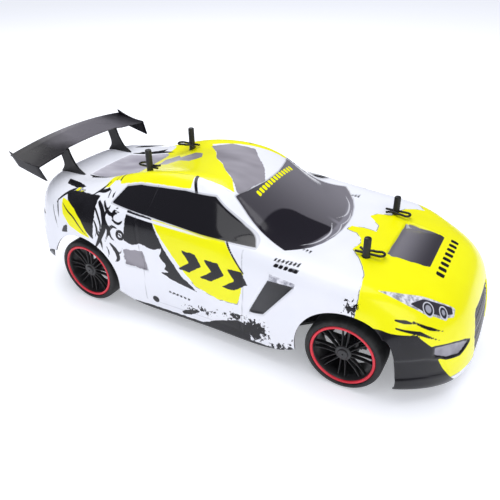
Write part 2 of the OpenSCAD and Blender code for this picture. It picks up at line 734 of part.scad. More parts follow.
chassis_tub();
bumper_beam();
front_bulkhead();
rear_bulkhead();
hinge_pins();
chassis_screws();
battery_pack();
battery_strap();
control_box();
steering_servo();
body_posts();
body_shell();
rear_wing();
wing_struts();
clip(front_post, front_clip_z, -1, 1);  // clip_front_right
clip(front_post, front_clip_z, 1, 1);  // clip_front_left
clip(rear_post, rear_clip_z, -1, -1);  // clip_rear_right
clip(rear_post, rear_clip_z, 1, -1);  // clip_rear_left
power_switch();
servo_horn();
steering_link();
drive_pod();
motor_can();
motor_pinion();
rear_axle();
spur_gear();
wheel(-axle_x, -1) rim();  // rim_rear_right
wheel(-axle_x, 1) rim();  // rim_rear_left
wheel(-axle_x, -1) tyre();  // tyre_rear_right
wheel(-axle_x, 1) tyre();  // tyre_rear_left
color("red") rear_damper() damper_cylinder(4.6, 30, 5);  // damper_body
color(steel) rear_damper() damper_piston(damper_span, 14, 5);  // damper_rod
color("gold") rear_damper() coil(5.6, 0.6, 7, -54, -9.8);  // damper_spring
lower_arm(-1);  // lower_arm_right
upper_arm(-1);  // upper_arm_right
hub_carrier(-1);  // hub_carrier_right
knuckle(-1);  // knuckle_right
stub_axle(-1);  // stub_axle_right
wheel(axle_x, -1) rim();  // rim_front_right
wheel(axle_x, -1) tyre();  // tyre_front_right
color("red") front_shock(-1) damper_cylinder(4, 22, 5);  // shock_body_right
color(steel) front_shock(-1) damper_piston(shock_span, 11, 5);  // shock_rod_right
color("gold") front_shock(-1) coil(5.2, 0.6, spring_turns, -36.7, -9.8);  // shock_spring_right
lower_arm(1);  // lower_arm_left
upper_arm(1);  // upper_arm_left
hub_carrier(1);  // hub_carrier_left
knuckle(1);  // knuckle_left
stub_axle(1);  // stub_axle_left
wheel(axle_x, 1) rim();  // rim_front_left
wheel(axle_x, 1) tyre();  // tyre_front_left
color("red") front_shock(1) damper_cylinder(4, 22, 5);  // shock_body_left
color(steel) front_shock(1) damper_piston(shock_span, 11, 5);  // shock_rod_left
color("gold") front_shock(1) coil(5.2, 0.6, spring_turns, -36.7, -9.8);  // shock_spring_left
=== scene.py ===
"""RC drift car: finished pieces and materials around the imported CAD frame.

Lengths are in mm until a mesh is made.
"""
import json
import math

import bpy
import numpy as np
from mathutils import Matrix, Vector


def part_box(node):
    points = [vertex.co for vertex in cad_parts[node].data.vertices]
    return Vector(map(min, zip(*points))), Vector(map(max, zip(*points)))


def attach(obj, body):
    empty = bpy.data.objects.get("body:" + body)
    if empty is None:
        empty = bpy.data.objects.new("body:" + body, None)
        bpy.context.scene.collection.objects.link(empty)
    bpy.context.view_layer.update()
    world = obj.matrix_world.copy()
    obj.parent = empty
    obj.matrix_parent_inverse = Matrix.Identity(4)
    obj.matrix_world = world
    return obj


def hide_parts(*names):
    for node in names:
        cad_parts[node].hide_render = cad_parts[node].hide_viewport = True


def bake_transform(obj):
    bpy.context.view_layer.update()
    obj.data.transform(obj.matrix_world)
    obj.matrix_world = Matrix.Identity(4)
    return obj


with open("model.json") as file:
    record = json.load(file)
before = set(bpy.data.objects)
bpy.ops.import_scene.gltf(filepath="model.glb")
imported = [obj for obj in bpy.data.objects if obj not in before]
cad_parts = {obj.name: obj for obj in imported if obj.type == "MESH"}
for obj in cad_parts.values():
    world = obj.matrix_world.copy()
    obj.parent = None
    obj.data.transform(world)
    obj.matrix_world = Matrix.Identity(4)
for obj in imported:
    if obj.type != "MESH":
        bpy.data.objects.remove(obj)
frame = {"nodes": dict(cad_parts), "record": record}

MM = 0.001
RIGHT, LEFT = -1, 1
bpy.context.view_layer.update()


# ---------------------------------------------------------------- small helpers
def node_box(node):
    """Lowest and highest corner of a CAD node, in mm."""
    low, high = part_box(node)
    return np.array(low) / MM, np.array(high) / MM


def smoothstep(t):
    t = np.clip(t, 0, 1)
    return t * t * (3 - 2 * t)


def make_piece(name, mesh, slot, body, stands_for=(), sharp=None, materials=None, face_material=None):
    """One piece from a (points, faces) mesh in mm, with its slot's finish unless materials are given.

    It rides on body, unless that is None, and keeps edges over sharp degrees sharp.
    """
    points, faces = mesh
    made = bpy.data.meshes.new(name)
    made.from_pydata((np.asarray(points, float) * MM).tolist(), [], [list(map(int, f)) for f in faces])
    made.validate()
    piece = bpy.data.objects.new(name, made)
    bpy.context.scene.collection.objects.link(piece)
    for material in materials or [FINISHES[slot]]:
        made.materials.append(material)
    if face_material is not None:
        made.polygons.foreach_set("material_index", np.asarray(face_material, np.int32))
    made.polygons.foreach_set("use_smooth", np.full(len(made.polygons), True))
    if body is not None:
        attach(piece, body)
    if stands_for:
        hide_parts(*stands_for)
    if sharp is not None:
        bpy.context.view_layer.objects.active = piece
        piece.select_set(True)
        bpy.ops.object.shade_smooth_by_angle(angle=math.radians(sharp))
        piece.select_set(False)
    return piece


def joined(parts):
    """Several (points, faces) as one."""
    points, faces, count = [], [], 0
    for part_points, part_faces in parts:
        points.append(np.asarray(part_points, float))
        faces += [[i + count for i in face] for face in part_faces]
        count += len(part_points)
    return np.concatenate(points), faces


def loft(rings):
    """A closed skin over rings that hold the same number of points each."""
    rings = np.asarray(rings, float)
    count, around = rings.shape[:2]
    faces = []
    for i in range(count - 1):
        for j in range(around):
            a, b = i * around + j, i * around + (j + 1) % around
            faces.append([a, b, b + around, a + around])
    faces.append(list(range(around))[::-1])
    faces.append([(count - 1) * around + j for j in range(around)])
    return rings.reshape(-1, 3), faces


def lathe(profile, centre, side, segments=128):
    """A closed profile of (radius, distance outwards) turned about the wheel axis through centre."""
    rings = []
    for k in range(segments):
        a = 2 * math.pi * k / segments
        rings.append([(centre[0] + r * math.cos(a), centre[1] + side * y, centre[2] + r * math.sin(a))
                      for r, y in profile])
    around = len(profile)
    faces = []
    for k in range(segments):
        m = (k + 1) % segments
        for j in range(around):
            n = (j + 1) % around
            quad = [k * around + j, m * around + j, m * around + n, k * around + n]
            faces.append(quad if side == RIGHT else quad[::-1])
    return np.reshape(rings, (-1, 3)), faces


def rounded(profile, steps=3):
    """A closed outline with its corners cut twice, which leaves them round."""
    points = np.asarray(profile, float)
    for _ in range(steps - 1):
        ahead = np.roll(points, -1, axis=0)
        points = np.stack([0.8 * points + 0.2 * ahead, 0.2 * points + 0.8 * ahead], axis=1).reshape(-1, 2)
    return points


def tube(path, radius, sides=12):
    """A round wire along a path, with domed ends."""
    path = np.asarray(path, float)
    start, end = path[1] - path[0], path[-1] - path[-2]
    dome = 0.6 * radius
    path = np.concatenate([[path[0] - start / np.linalg.norm(start) * dome],
                           path,
                           [path[-1] + end / np.linalg.norm(end) * dome]])
    along = np.gradient(path, axis=0)
    along /= np.linalg.norm(along, axis=1)[:, None]
    up = np.array([0.0, 0.0, 1.0]) if abs(along[:, 2]).max() < 0.9 else np.array([1.0, 0.0, 0.0])
    rings = []
    for k, (spot, way) in enumerate(zip(path, along)):
        aside = np.cross(way, up)
        aside /= np.linalg.norm(aside)
        over = np.cross(aside, way)
        r = radius * (0.45 if k in (0, len(path) - 1) else 1)
        rings.append([spot + r * (math.cos(a) * aside + math.sin(a) * over)
                      for a in np.linspace(0, 2 * math.pi, sides, endpoint=False)])
    return loft(rings)


def catmull(points, steps=6):
    """A smooth path through points."""
    p = np.asarray(points, float)
    p = np.concatenate([[2 * p[0] - p[1]], p, [2 * p[-1] - p[-2]]])
    path = []
    for i in range(1, len(p) - 2):
        for t in np.linspace(0, 1, steps, endpoint=False):
            path.append(0.5 * (2 * p[i] + (p[i + 1] - p[i - 1]) * t
                               + (2 * p[i - 1] - 5 * p[i] + 4 * p[i + 1] - p[i + 2]) * t ** 2
                               + (3 * p[i] - p[i - 1] - 3 * p[i + 1] + p[i + 2]) * t ** 3))
    return np.array(path + [p[-2]])


# ---------------------------------------------------------------- shader building
class Shader:
    """Builds one node material. Inputs may be plain values or other nodes' sockets."""

    def __init__(self, name):
        self.material = bpy.data.materials.new(name)
        self.material.use_nodes = True
        self.tree = self.material.node_tree
        self.tree.nodes.clear()
        self.surface = self.node("ShaderNodeBsdfPrincipled")
        self.node("ShaderNodeOutputMaterial", Surface=self.surface.outputs["BSDF"])
        self.place = self.node("ShaderNodeTexCoord").outputs["Object"]

    def node(self, kind, settings=None, **inputs):
        made = self.tree.nodes.new(kind)
        for key, value in (settings or {}).items():
            setattr(made, key, value)
        for key, value in inputs.items():
            self.put(made.inputs[key.replace("_", " ")], value)
        return made

    def put(self, socket, value):
        if isinstance(value, bpy.types.NodeSocket):
            self.tree.links.new(value, socket)
        elif isinstance(value, tuple) and len(value) == 3 and socket.type == "RGBA":
            socket.default_value = (*value, 1)
        else:
            socket.default_value = value

    def math(self, operation, *values):
        made = self.node("ShaderNodeMath", {"operation": operation})
        for socket, value in zip(made.inputs, values):
            self.put(socket, value)
        return made.outputs[0]

    def times(self, a, b):
        return self.math("MULTIPLY", a, b)

    def plus(self, a, b):
        return self.math("ADD", a, b)

    def minus(self, a, b):
        return self.math("SUBTRACT", a, b)

    def noise(self, size, detail=4.0, rough=0.55, stretch=None):
        """Noise of about that size in mm, from 0 to 1; stretch scales the X, Y and Z sizes."""
        place = self.place
        if stretch is not None:
            squeeze = tuple(1 / share for share in stretch)
            place = self.node("ShaderNodeMapping", Vector=place, Scale=squeeze).outputs[0]
        made = self.node("ShaderNodeTexNoise", Vector=place, Scale=1 / (size * MM), Detail=detail,
                         Roughness=rough)
        return made.outputs["Fac"]

    def remap(self, value, low, high, to_low=0.0, to_high=1.0):
        made = self.node("ShaderNodeMapRange", {"interpolation_type": "SMOOTHSTEP"}, Value=value,
                         From_Min=low, From_Max=high, To_Min=to_low, To_Max=to_high)
        return made.outputs["Result"]

    def mix(self, share, a, b):
        made = self.node("ShaderNodeMix", {"data_type": "RGBA"})
        self.put(made.inputs[0], share)
        self.put(made.inputs[6], a)
        self.put(made.inputs[7], b)
        return made.outputs[2]

    def blend(self, share, a, b):
        """The same for plain numbers."""
        made = self.node("ShaderNodeMix", {"data_type": "FLOAT"})
        self.put(made.inputs[0], share)
        self.put(made.inputs[2], a)
        self.put(made.inputs[3], b)
        return made.outputs[0]

    def attribute(self, name):
        """The value stored on the mesh under that name."""
        settings = {"attribute_type": "GEOMETRY", "attribute_name": name}
        return self.node("ShaderNodeAttribute", settings).outputs["Fac"]

    def bump(self, height, strength, depth, under=None):
        inputs = {"Height": height, "Strength": strength, "Distance": depth * MM}
        if under is not None:
            inputs["Normal"] = under
        return self.node("ShaderNodeBump", None, **inputs).outputs["Normal"]

    def finish(self, **inputs):
        for key, value in inputs.items():
            self.put(self.surface.inputs[key.replace("_", " ")], value)
        return self.material


def moulded(name, colour, rough, grain=0.5, depth=0.03, dust=0.12, sheen=0.5, coat=0.0, flow_share=1.0):
    """Moulded plastic: fine spark-eroded grain, faint flow marks, scuffs and a little dust."""
    s = Shader(name)
    flow = s.noise(38, 3, stretch=(3, 1, 1))
    scuff = s.remap(s.noise(9, 8, 0.7), 0.55, 0.72)
    lighter = tuple(min(1.0, c * (1 + 0.3 * flow_share) + 0.004 * flow_share) for c in colour)
    darker = tuple(c * (1 - 0.28 * flow_share) for c in colour)
    body = s.mix(s.remap(flow, 0.3, 0.7), darker, lighter)
    body = s.mix(s.times(scuff, dust), body, (0.35, 0.35, 0.36))
    roughness = s.plus(s.remap(s.noise(5, 6), 0.3, 0.7, rough - 0.08, rough + 0.08),
                       s.times(scuff, 0.12))
    fine = s.bump(s.noise(grain, 3, 0.6), 0.5, depth)
    return s.finish(Base_Color=body, Roughness=roughness, Normal=s.bump(flow, 0.25 * flow_share, 0.1, fine),
                    Specular_IOR_Level=sheen, Coat_Weight=coat, Coat_Roughness=0.15)


def machined(name, colour, rough, stretch=(1, 12, 1), scratch=0.35, depth=0.02):
    """Turned or drawn metal: tool lines one way, smudges and darker patches."""
    s = Shader(name)
    lines = s.noise(0.5, 5, 0.6, stretch)
    smudge = s.noise(12, 5)
    darker = tuple(c * 0.6 for c in colour)
    body = s.mix(s.remap(smudge, 0.3, 0.75), darker, colour)
    roughness = s.plus(s.remap(lines, 0.3, 0.7, rough - 0.08, rough + 0.1),
                       s.remap(smudge, 0.5, 0.8, 0.0, 0.12))
    return s.finish(Base_Color=body, Metallic=1.0, Roughness=roughness,
                    Normal=s.bump(lines, scratch, depth))


def foam():
    """Bumper foam: small dark cells."""
    s = Shader("bumper_foam")
    cells = s.node("ShaderNodeTexVoronoi", Vector=s.place, Scale=1 / (0.9 * MM)).outputs["Distance"]
    body = s.mix(s.remap(cells, 0.1, 0.7), (0.012, 0.012, 0.013), (0.05, 0.05, 0.054))
    return s.finish(Base_Color=body, Roughness=0.92, Normal=s.bump(cells, 0.8, 0.3))


def rubber():
    """Hard drift tyre compound: matt, slightly scuffed, with patches of pale dust."""
    s = Shader("tyre_compound")
    scrub = s.noise(3.2, 7, 0.65, (1, 6, 1))
    dust = s.remap(s.noise(22, 5), 0.45, 0.8)
    body = s.mix(s.remap(scrub, 0.35, 0.7), (0.0075, 0.0075, 0.008), (0.021, 0.021, 0.023))
    body = s.mix(s.times(dust, 0.12), body, (0.16, 0.15, 0.14))
    fine = s.bump(s.noise(0.35, 3), 0.45, 0.04)
    return s.finish(Base_Color=body, Roughness=s.remap(scrub, 0.3, 0.7, 0.5, 0.68),
                    Normal=s.bump(scrub, 0.25, 0.06, fine), Specular_IOR_Level=0.4)


def wing_gloss_and_painted_sheen():
    """The wing's gloss black moulding, with a painted reflection: paler over the middle of the blade's top,
    with fine rub marks.
    """
    s = Shader("wing_plastic")
    place = s.node("ShaderNodeSeparateXYZ", Vector=s.place)
    # Painted reflection: a paler band over the middle of the blade's top, its edges wobbled by noise.
    cloud = s.times(s.minus(s.noise(26, 3), 0.5), 0.03)
    across = s.plus(place.outputs["Y"], cloud)
    painted_sheen = s.times(s.remap(across, -0.05, -0.012), s.remap(across, 0.075, 0.03))
    painted_sheen = s.times(painted_sheen, s.remap(place.outputs["Z"], 0.122, 0.128))
    # The black moulding, lightened where the painted reflection lies.
    body = s.mix(painted_sheen, (0.009, 0.008, 0.011), (0.14, 0.132, 0.15))
    rub = s.remap(s.noise(0.9, 5, 0.7, (1, 9, 1)), 0.62, 0.75)
    body = s.mix(s.times(rub, 0.02), body, (0.3, 0.3, 0.32))
    return s.finish(Base_Color=body, Roughness=s.remap(s.noise(22, 2), 0.3, 0.7, 0.26, 0.3),
                    Coat_Weight=0.08, Coat_Roughness=0.1, Specular_IOR_Level=0.16,
                    Normal=s.bump(s.noise(1.4, 3), 0.05, 0.01))


def red_lip():
    """Red paint rolled on the rim lip, with a slightly uneven edge and fine wear."""
    s = Shader("rim_lip_paint")
    wear = s.remap(s.noise(2.4, 7, 0.7), 0.62, 0.7)
    body = s.mix(s.remap(s.noise(16, 3), 0.3, 0.7), (0.62, 0.012, 0.03), (0.78, 0.03, 0.055))
    body = s.mix(s.times(wear, 0.5), body, (0.2, 0.01, 0.014))
    return s.finish(Base_Color=body, Roughness=s.remap(s.noise(3), 0.3, 0.7, 0.28, 0.42),
                    Normal=s.bump(s.noise(0.6, 3), 0.3, 0.02))


def shrink_wrap():
    """Battery sleeve: blue film with faint wrinkles across the cells."""
    s = Shader("battery_wrap")
    wrinkle = s.noise(6, 6, 0.6, (3, 1, 1))
    body = s.mix(s.remap(wrinkle, 0.3, 0.7), (0.012, 0.06, 0.26), (0.03, 0.12, 0.42))
    return s.finish(Base_Color=body, Roughness=s.remap(wrinkle, 0.3, 0.7, 0.22, 0.36), Coat_Weight=0.4,
                    Normal=s.bump(wrinkle, 0.5, 0.3))


def webbing():
    """Woven strap: ribs across, a finer thread along."""
    s = Shader("strap_webbing")

    def threads(direction, size):
        settings = {"bands_direction": direction}
        wave = s.node("ShaderNodeTexWave", settings, Vector=s.place, Scale=1 / (size * MM))
        return wave.outputs["Fac"]

    weave = s.times(threads("Y", 5.0), threads("X", 7.0))
    body = s.mix(weave, (0.012, 0.012, 0.014), (0.07, 0.07, 0.075))
    return s.finish(Base_Color=body, Roughness=0.85, Normal=s.bump(weave, 0.7, 0.2))


def spring_paint(name, colour):
    """Paint on spring wire, chipped down to bare metal in places."""
    s = Shader(name)
    chip = s.remap(s.noise(1.6, 7, 0.7), 0.6, 0.66)
    body = s.mix(chip, colour, (0.3, 0.3, 0.31))
    return s.finish(Base_Color=body, Roughness=s.blend(chip, 0.3, 0.45),
                    Metallic=s.times(chip, 0.8), Normal=s.bump(s.noise(1.2, 4), 0.25, 0.03))


BLACK = (0.014, 0.014, 0.0155)
# Colour, roughness, grain size and depth in mm, dust, sheen and clear coat
MOULDED = {
    "chassis_plastic": ((0.017, 0.017, 0.018), 0.5, 0.6, 0.04),
    "arm_plastic": ((0.02, 0.02, 0.021), 0.44, 0.5, 0.03),
    "clip_wire": ((0.01, 0.01, 0.011), 0.3, 0.4, 0.01, 0.05, 0.6),
    "box_plastic": ((0.025, 0.03, 0.05), 0.38, 0.5, 0.02),
    "servo_plastic": ((0.016, 0.018, 0.024), 0.36, 0.5, 0.02),
    "horn_plastic": ((0.62, 0.61, 0.58), 0.42, 0.5, 0.02),
    "switch_knob": ((0.45, 0.02, 0.015), 0.4, 0.4, 0.02),
    "post_plastic": (BLACK, 0.4, 0.4, 0.02, 0.08),
    "strut_plastic": ((0.008, 0.008, 0.009), 0.4, 0.5, 0.01, 0.03, 0.3),
    "gear_plastic": ((0.5, 0.49, 0.46), 0.45, 0.5, 0.02),
    "rim_plastic": (BLACK, 0.36, 0.5, 0.015, 0.08, 0.5, 0.1),
}
# Colour, roughness and the stretch of the tool lines
MACHINED = {
    "steel": ((0.55, 0.55, 0.57), 0.26),
    "motor_metal": ((0.42, 0.42, 0.44), 0.3, (1, 10, 1)),
    "brass": ((0.72, 0.49, 0.17), 0.25),
    "link_metal": ((0.3, 0.3, 0.32), 0.3),
    "shock_metal": ((0.5, 0.08, 0.06), 0.28, (1, 8, 1)),
}
FINISHES = {name: moulded(name, *row) for name, row in MOULDED.items()}
FINISHES.update((name, machined(name, *row)) for name, row in MACHINED.items())
FINISHES.update(bumper_foam=foam(), battery_wrap=shrink_wrap(), strap_webbing=webbing(),
                wing_plastic=wing_gloss_and_painted_sheen(), tyre_compound=rubber(),
                spring_steel=spring_paint("spring_steel", (0.42, 0.012, 0.015)))
LIP = red_lip()


def finish_cad_nodes():
    """Every carried-over CAD node whose slot has a finish here gets that finish."""
    for row in frame["record"]["subparts"]:
        mesh = frame["nodes"][row["node"]].data
        slot = row["material_slot"]
        if slot in FINISHES:
            mesh.materials.clear()
            mesh.materials.append(FINISHES[slot])


# ---------------------------------------------------------------- the shell's surface
LEVEL_Y = (0, 18, 34, 48, 60, 72, 82, 89, 92)
DOOR = ((89, 98), (93, 68), (89, 13))    # shoulder, widest point and sill


def level_rib(x_centre, x_side, heights):
    """A rib of the nose or tail, with its heights at the same Y steps as the others there."""
    return x_centre, x_side, 3.4, tuple(zip(LEVEL_Y, heights))


# Each rib: X on the centreline, X at the side, power of the plan curve between them, then (Y, Z) points.
RIBS = [
    level_rib(213, 172, (8, 8, 8, 9, 10, 12, 14, 16, 17)),
    level_rib(221, 174, (10, 10, 10, 11, 12, 14, 16, 18, 19)),
    level_rib(221, 172, (32, 32, 32, 32, 32, 33, 34, 35, 36)),
    level_rib(216, 168, (58, 58, 58, 58, 58, 57, 56, 54, 52)),
    level_rib(207, 160, (77, 77, 77, 76, 75, 73, 71, 69, 64)),
    (188, 150, 2.8,
     ((0, 87.5), (18, 87.5), (34, 87.5), (48, 87.5), (60, 86.5),
      (71, 84.5), (81, 80), (89, 68), (93, 50))),
    (165, 135, 2.2,
     ((0, 92), (18, 92.5), (34, 92.5), (48, 92), (60, 91),
      (75, 93), (86, 89), (93, 76), (95, 45))),
    (135, 112, 2,
     ((0, 95), (18, 95.5), (34, 95.5), (48, 95), (60, 94.5),
      (75, 95.5), (87, 91), (93, 77), (95, 45))),
    (110, 85, 2,
     ((0, 94.5), (18, 95), (34, 95.5), (48, 95.5), (60, 95.5),
      (76, 97.5), (88, 93), (93, 74), (91, 13))),
    (94, 34, 2,
     ((0, 92), (18, 92), (34, 92.5), (48, 94.5), (60, 97.5),
      (78, 102.5), (88, 97), (93, 70), (90, 13))),
    (55, 12, 2,
     ((0, 112), (18, 112), (34, 111.5), (46, 110),
      (56, 107), (80, 105), *DOOR)),
    (22, 2, 2,
     ((0, 131), (18, 130.5), (34, 130), (46, 128.5),
      (55, 125), (81, 106.5), *DOOR)),
    (-8, -12, 2,
     ((0, 135), (18, 135), (34, 135), (47, 135.5),
      (57, 132), (82, 107), *DOOR)),
    (-42, -42, 2,
     ((0, 133), (18, 133), (34, 134), (47, 137), (57, 132.5),
      (82, 108.5), (89, 99), (92.5, 68), DOOR[2])),
    (-76, -74, 2,
     ((0, 125), (18, 125), (34, 125.5), (46, 132.5), (56, 129),
      (80, 110), (89, 100), (93, 70), (90, 13))),
    (-112, -104, 2,
     ((0, 112), (18, 112), (33, 112.5), (45, 121), (55, 119),
      (76, 108.5), (88, 99), (95, 76), (94, 30))),
    (-150, -134, 2,
     ((0, 104.5), (18, 104.5), (33, 104.5), (46, 106.5), (58, 108),
      (77, 106), (89, 98), (96, 78), (95, 42))),
    (-186, -156, 2.6,
     ((0, 104), (20, 104), (36, 104), (48, 104), (60, 104),
      (75, 102), (86, 94), (92, 74), (93, 44))),
    level_rib(-207, -168, (105.5, 105.5, 105, 104, 102, 97, 89, 75, 46)),
    level_rib(-214, -174, (90, 90, 90, 89, 87, 84, 79, 68, 46)),
    level_rib(-217, -178, (72, 72, 72, 71, 70, 68, 64, 57, 44)),
    level_rib(-215, -177, (52, 52, 52, 52, 52, 51, 49, 46, 41)),
    level_rib(-207, -171, (45, 45, 45, 45, 45, 45, 44, 41, 38)),
]


def rib_points(rib):
    """A rib's (X, Y, Z) points from the right sill to the left one."""
    x_centre, x_side, power, section = rib
    last_y = section[-1][0]
    half = [(x_centre + (x_side - x_centre) * (y / last_y) ** power, y, z) for y, z in section]
    return [(x, -y, z) for x, y, z in half[:0:-1]] + half


def spline_along(net, step):
    """Uniform cubic B-spline down the first axis, run on straight at both ends, a point per step or so."""
    spans = len(net) - 1
    long = np.linalg.norm(np.diff(net, axis=0), axis=-1).max(axis=1)
    counts = np.maximum(np.ceil(long / step).astype(int), 2)
    places = np.concatenate([k + np.arange(n) / n for k, n in enumerate(counts)] + [[spans]])
    net = np.concatenate([[2 * net[0] - net[1]], net, [2 * net[-1] - net[-2]]])
    k = np.minimum(places.astype(int), spans - 1)
    t = (places - k)[:, None, None]
    weights = [(1 - t) ** 3, 3 * t ** 3 - 6 * t ** 2 + 4, -3 * t ** 3 + 3 * t ** 2 + 3 * t + 1, t ** 3]
    return sum(w / 6 * net[k + i] for i, w in enumerate(weights))


def shell_grid(step):
    """The smooth shell as a grid of points about step apart, before anything is pressed in."""
    net = np.array([rib_points(rib) for rib in RIBS], float)
    along = spline_along(net, step)
    return np.swapaxes(spline_along(np.swapaxes(along, 0, 1), step), 0, 1)


def grid_normals(grid):
    """Outward normals of the grid."""
    normal = np.cross(np.gradient(grid, axis=1), np.gradient(grid, axis=0))
    normal /= np.linalg.norm(normal, axis=-1)[..., None]
    return normal


# ---------------------------------------------------------------- outlines drawn on the shell
REACH = 12.0                             # how far from an outline its distance is worked out
NOSE_X, TAIL_X, SIDE_Y = 150, -165, 56   # where the shell's front, rear and sides begin


def outline_distance(p, q, outline):
    """Distance in mm inside an outline: positive within it, negative outside, -REACH far away."""
    corners = np.asarray(outline, float)
    result = np.full(p.shape, -REACH)
    (p_low, q_low), (p_high, q_high) = corners.min(0) - REACH, corners.max(0) + REACH
    near = (p > p_low) & (p < p_high) & (q > q_low) & (q < q_high)
    a, b = p[near], q[near]
    best = np.full(a.shape, REACH ** 2)
    inside = np.zeros(a.shape, bool)
    for (x0, y0), (x1, y1) in zip(corners, np.roll(corners, -1, axis=0)):
        ex, ey = x1 - x0, y1 - y0
        if ex == 0 and ey == 0:
            continue
        t = np.clip(((a - x0) * ex + (b - y0) * ey) / (ex * ex + ey * ey), 0, 1)
        best = np.minimum(best, (a - x0 - t * ex) ** 2 + (b - y0 - t * ey) ** 2)
        if ey != 0:
            inside ^= ((y0 > b) != (y1 > b)) & (a < x0 + (b - y0) * ex / ey)
    result[near] = np.where(inside, 1, -1) * np.sqrt(best)
    return result


class Skin:
    """The shell's outer face, and distances to outlines drawn on its side, top and ends."""

    def __init__(self, grid):
        self.grid = grid
        self.x, self.y, self.z = np.moveaxis(grid, -1, 0)
        self.out = np.abs(self.y)

    def drawn(self, p, q, outlines, within):
        """Distance inside any of the outlines, where within is positive."""
        return np.minimum(union(outline_distance(p, q, outline) for outline in outlines), within)

    def side(self, *outlines, beyond=SIDE_Y):
        """Outlines of (X, Z), on both sides of the car."""
        return self.drawn(self.x, self.z, outlines, self.out - beyond)

    def top(self, *outlines, above=60):
        """Outlines of (X, Y) as seen from above."""
        return self.drawn(self.x, self.y, outlines, self.z - above)

    def top_pair(self, *outlines, above=60):
        """Outlines of (X, Y) for the left, mirrored to the right."""
        return self.drawn(self.x, self.out, outlines, self.z - above)

    def front(self, *outlines):
        """Outlines of (Y, Z) for the left, mirrored to the right, on the nose."""
        return self.drawn(self.out, self.z, outlines, self.x - NOSE_X)

    def rear(self, *outlines):
        """The same on the tail."""
        return self.drawn(self.out, self.z, outlines, TAIL_X - self.x)

    def ring(self, x, z, radius, width):
        """A ring on the sides."""
        return np.minimum(width / 2 - np.abs(np.hypot(self.x - x, self.z - z) - radius), self.out - SIDE_Y)

    def lamps(self, *rounds):
        """Round lamps seen from above, (X, Y) and radius, on both sides."""
        return union(radius - np.hypot(self.x - x, self.out - y) for (x, y), radius in rounds)

    def dot(self, x, z, radius):
        """A round spot on the sides."""
        return np.minimum(radius - np.hypot(self.x - x, self.z - z), self.out - SIDE_Y)


def union(fields):
    return np.maximum.reduce(list(fields))


def stroke(points, width):
    """A closed outline about a line through points, pointed at both ends."""
    p = np.asarray(points, float)
    way = np.gradient(p, axis=0)
    way /= np.linalg.norm(way, axis=1)[:, None]
    across = np.stack([-way[:, 1], way[:, 0]], axis=1)
    fade = np.sin(np.linspace(0.12, 0.94, len(p)) * math.pi)[:, None] * width / 2
    return np.concatenate([p + across * fade, (p - across * fade)[::-1]])


def bars(start, end, count, tall, slant=0.25, share=0.62):
    """A row of slanted blocks from start to end, in place of lettering."""
    start, end = np.asarray(start, float), np.asarray(end, float)
    step = (end - start) / count
    up = np.array([-step[1], step[0]]) / np.linalg.norm(step) * tall
    return [[spot, spot + step * share, spot + step * (share + slant) + up, spot + step * slant + up]
            for spot in (start + step * k for k in range(count))]


# Side outlines, (X, Z)
SIDE_GLASS = ((-98, 107.5), (-91, 119), (-76, 123), (-52, 125.4), (-28, 127), (0, 126), (10, 120),
              (31, 108.5), (49, 100.5), (0, 102.6), (-25, 104.4), (-52, 106))
DOOR_PATCH = ((-50, 105), (22, 102), (43, 81), (41, 58), (38, 49), (18, 48), (-4, 54), (-13, 64))
RAIL_YELLOW = ((-118, 112), (-97, 119), (-76, 124.5), (-52, 127), (-24, 128.5), (-29, 142), (-118, 142))
REAR_PANEL = ((-158, 104), (-140, 106.5), (-115, 108.5), (-112, 95), (-113, 73), (-121, 79), (-133, 88),
              (-142, 96))
DOOR_PANEL = ((-77, 106.5), (-50, 105.2), (-35, 83), (-46, 79), (-60, 81), (-69, 78), (-78, 80))
DOOR_BAND = ((-36, 84), (-13, 55), (-21, 55), (-27, 60), (-36, 62), (-33, 67), (-40, 74), (-38, 79))
SWOOSH = ((-158, 100), (-148, 99.5), (-138, 96), (-128, 88.5), (-116, 73), (-129, 76), (-142, 80),
          (-152, 88))
INTAKE = ((-80, 71), (-58, 73.5), (-54, 55), (-79, 55))
VENT = ((64.5, 81), (87, 81.6), (61, 47), (47.5, 45))
VENT_BAR = ((65.5, 87), (88, 84.5), (87, 79.5), (66, 80.5))
BUMPER_SIDE = ((157, 66), (181, 63.5), (193, 52), (202, 32), (213, 10), (213, 2), (150, 2), (150, 66))
BUMPER_LEDGE = ((156, 43), (190, 43), (200, 40), (206, 26), (150, 26))
# Gaps round the door and below it, (X, Z)
SHUT_LINES = (
    ((39.5, 22), (40.7, 22), (44.2, 70), (40, 99), (38.8, 99), (43, 70)),
    ((-61.2, 22), (-60, 22), (-58, 60), (-66, 104), (-67.2, 104), (-59.2, 60)),
    ((-60, 21.4), (40, 21.4), (40, 22.6), (-60, 22.6)),
)
# Painted strokes on the rear wing panel: width, then (X, Z) points
BOLD_STROKES = (
    (2.6, ((-120, 110), (-112, 112), (-106, 116), (-103, 121))),
    (1.6, ((-126, 106), (-118, 112), (-113, 119))),
    (2.0, ((-104, 98), (-99, 92), (-101, 84), (-106, 79))),
    (2.2, ((-90, 92), (-94, 88), (-92, 80), (-86, 76))),
    (1.6, ((-98, 70), (-96, 64), (-98, 58))),
    (2.6, ((-88, 106), (-92, 101), (-90, 96))),
    (5, ((-113, 106), (-104, 100), (-100, 88), (-106, 74), (-112, 64))),
    (3.4, ((-97, 106), (-101, 96), (-95, 86), (-99, 74))),
    (3, ((-107, 107), (-98, 101), (-92, 100), (-84, 104))),
    (4.4, ((-94, 74), (-88, 68), (-86, 60), (-90, 55))),
    (2.2, ((-112, 92), (-108, 84), (-110, 76))),
    (1.8, ((-164, 98), (-160, 90), (-158, 82))),
    (1.4, ((-169, 92), (-163, 80), (-160, 72))),
    (2.4, ((-92, 96), (-84, 94), (-78, 99))),
    (2.0, ((-119, 104), (-110, 98), (-104, 88), (-107, 78))),
    (2.6, ((-109, 84), (-104, 74), (-103, 64))),
    (2.0, ((-95, 84), (-90, 90), (-84, 89))),
    (1.8, ((-92, 68), (-84, 66), (-80, 72))),
    (2.2, ((-150, 106), (-158, 102), (-166, 94))),
)
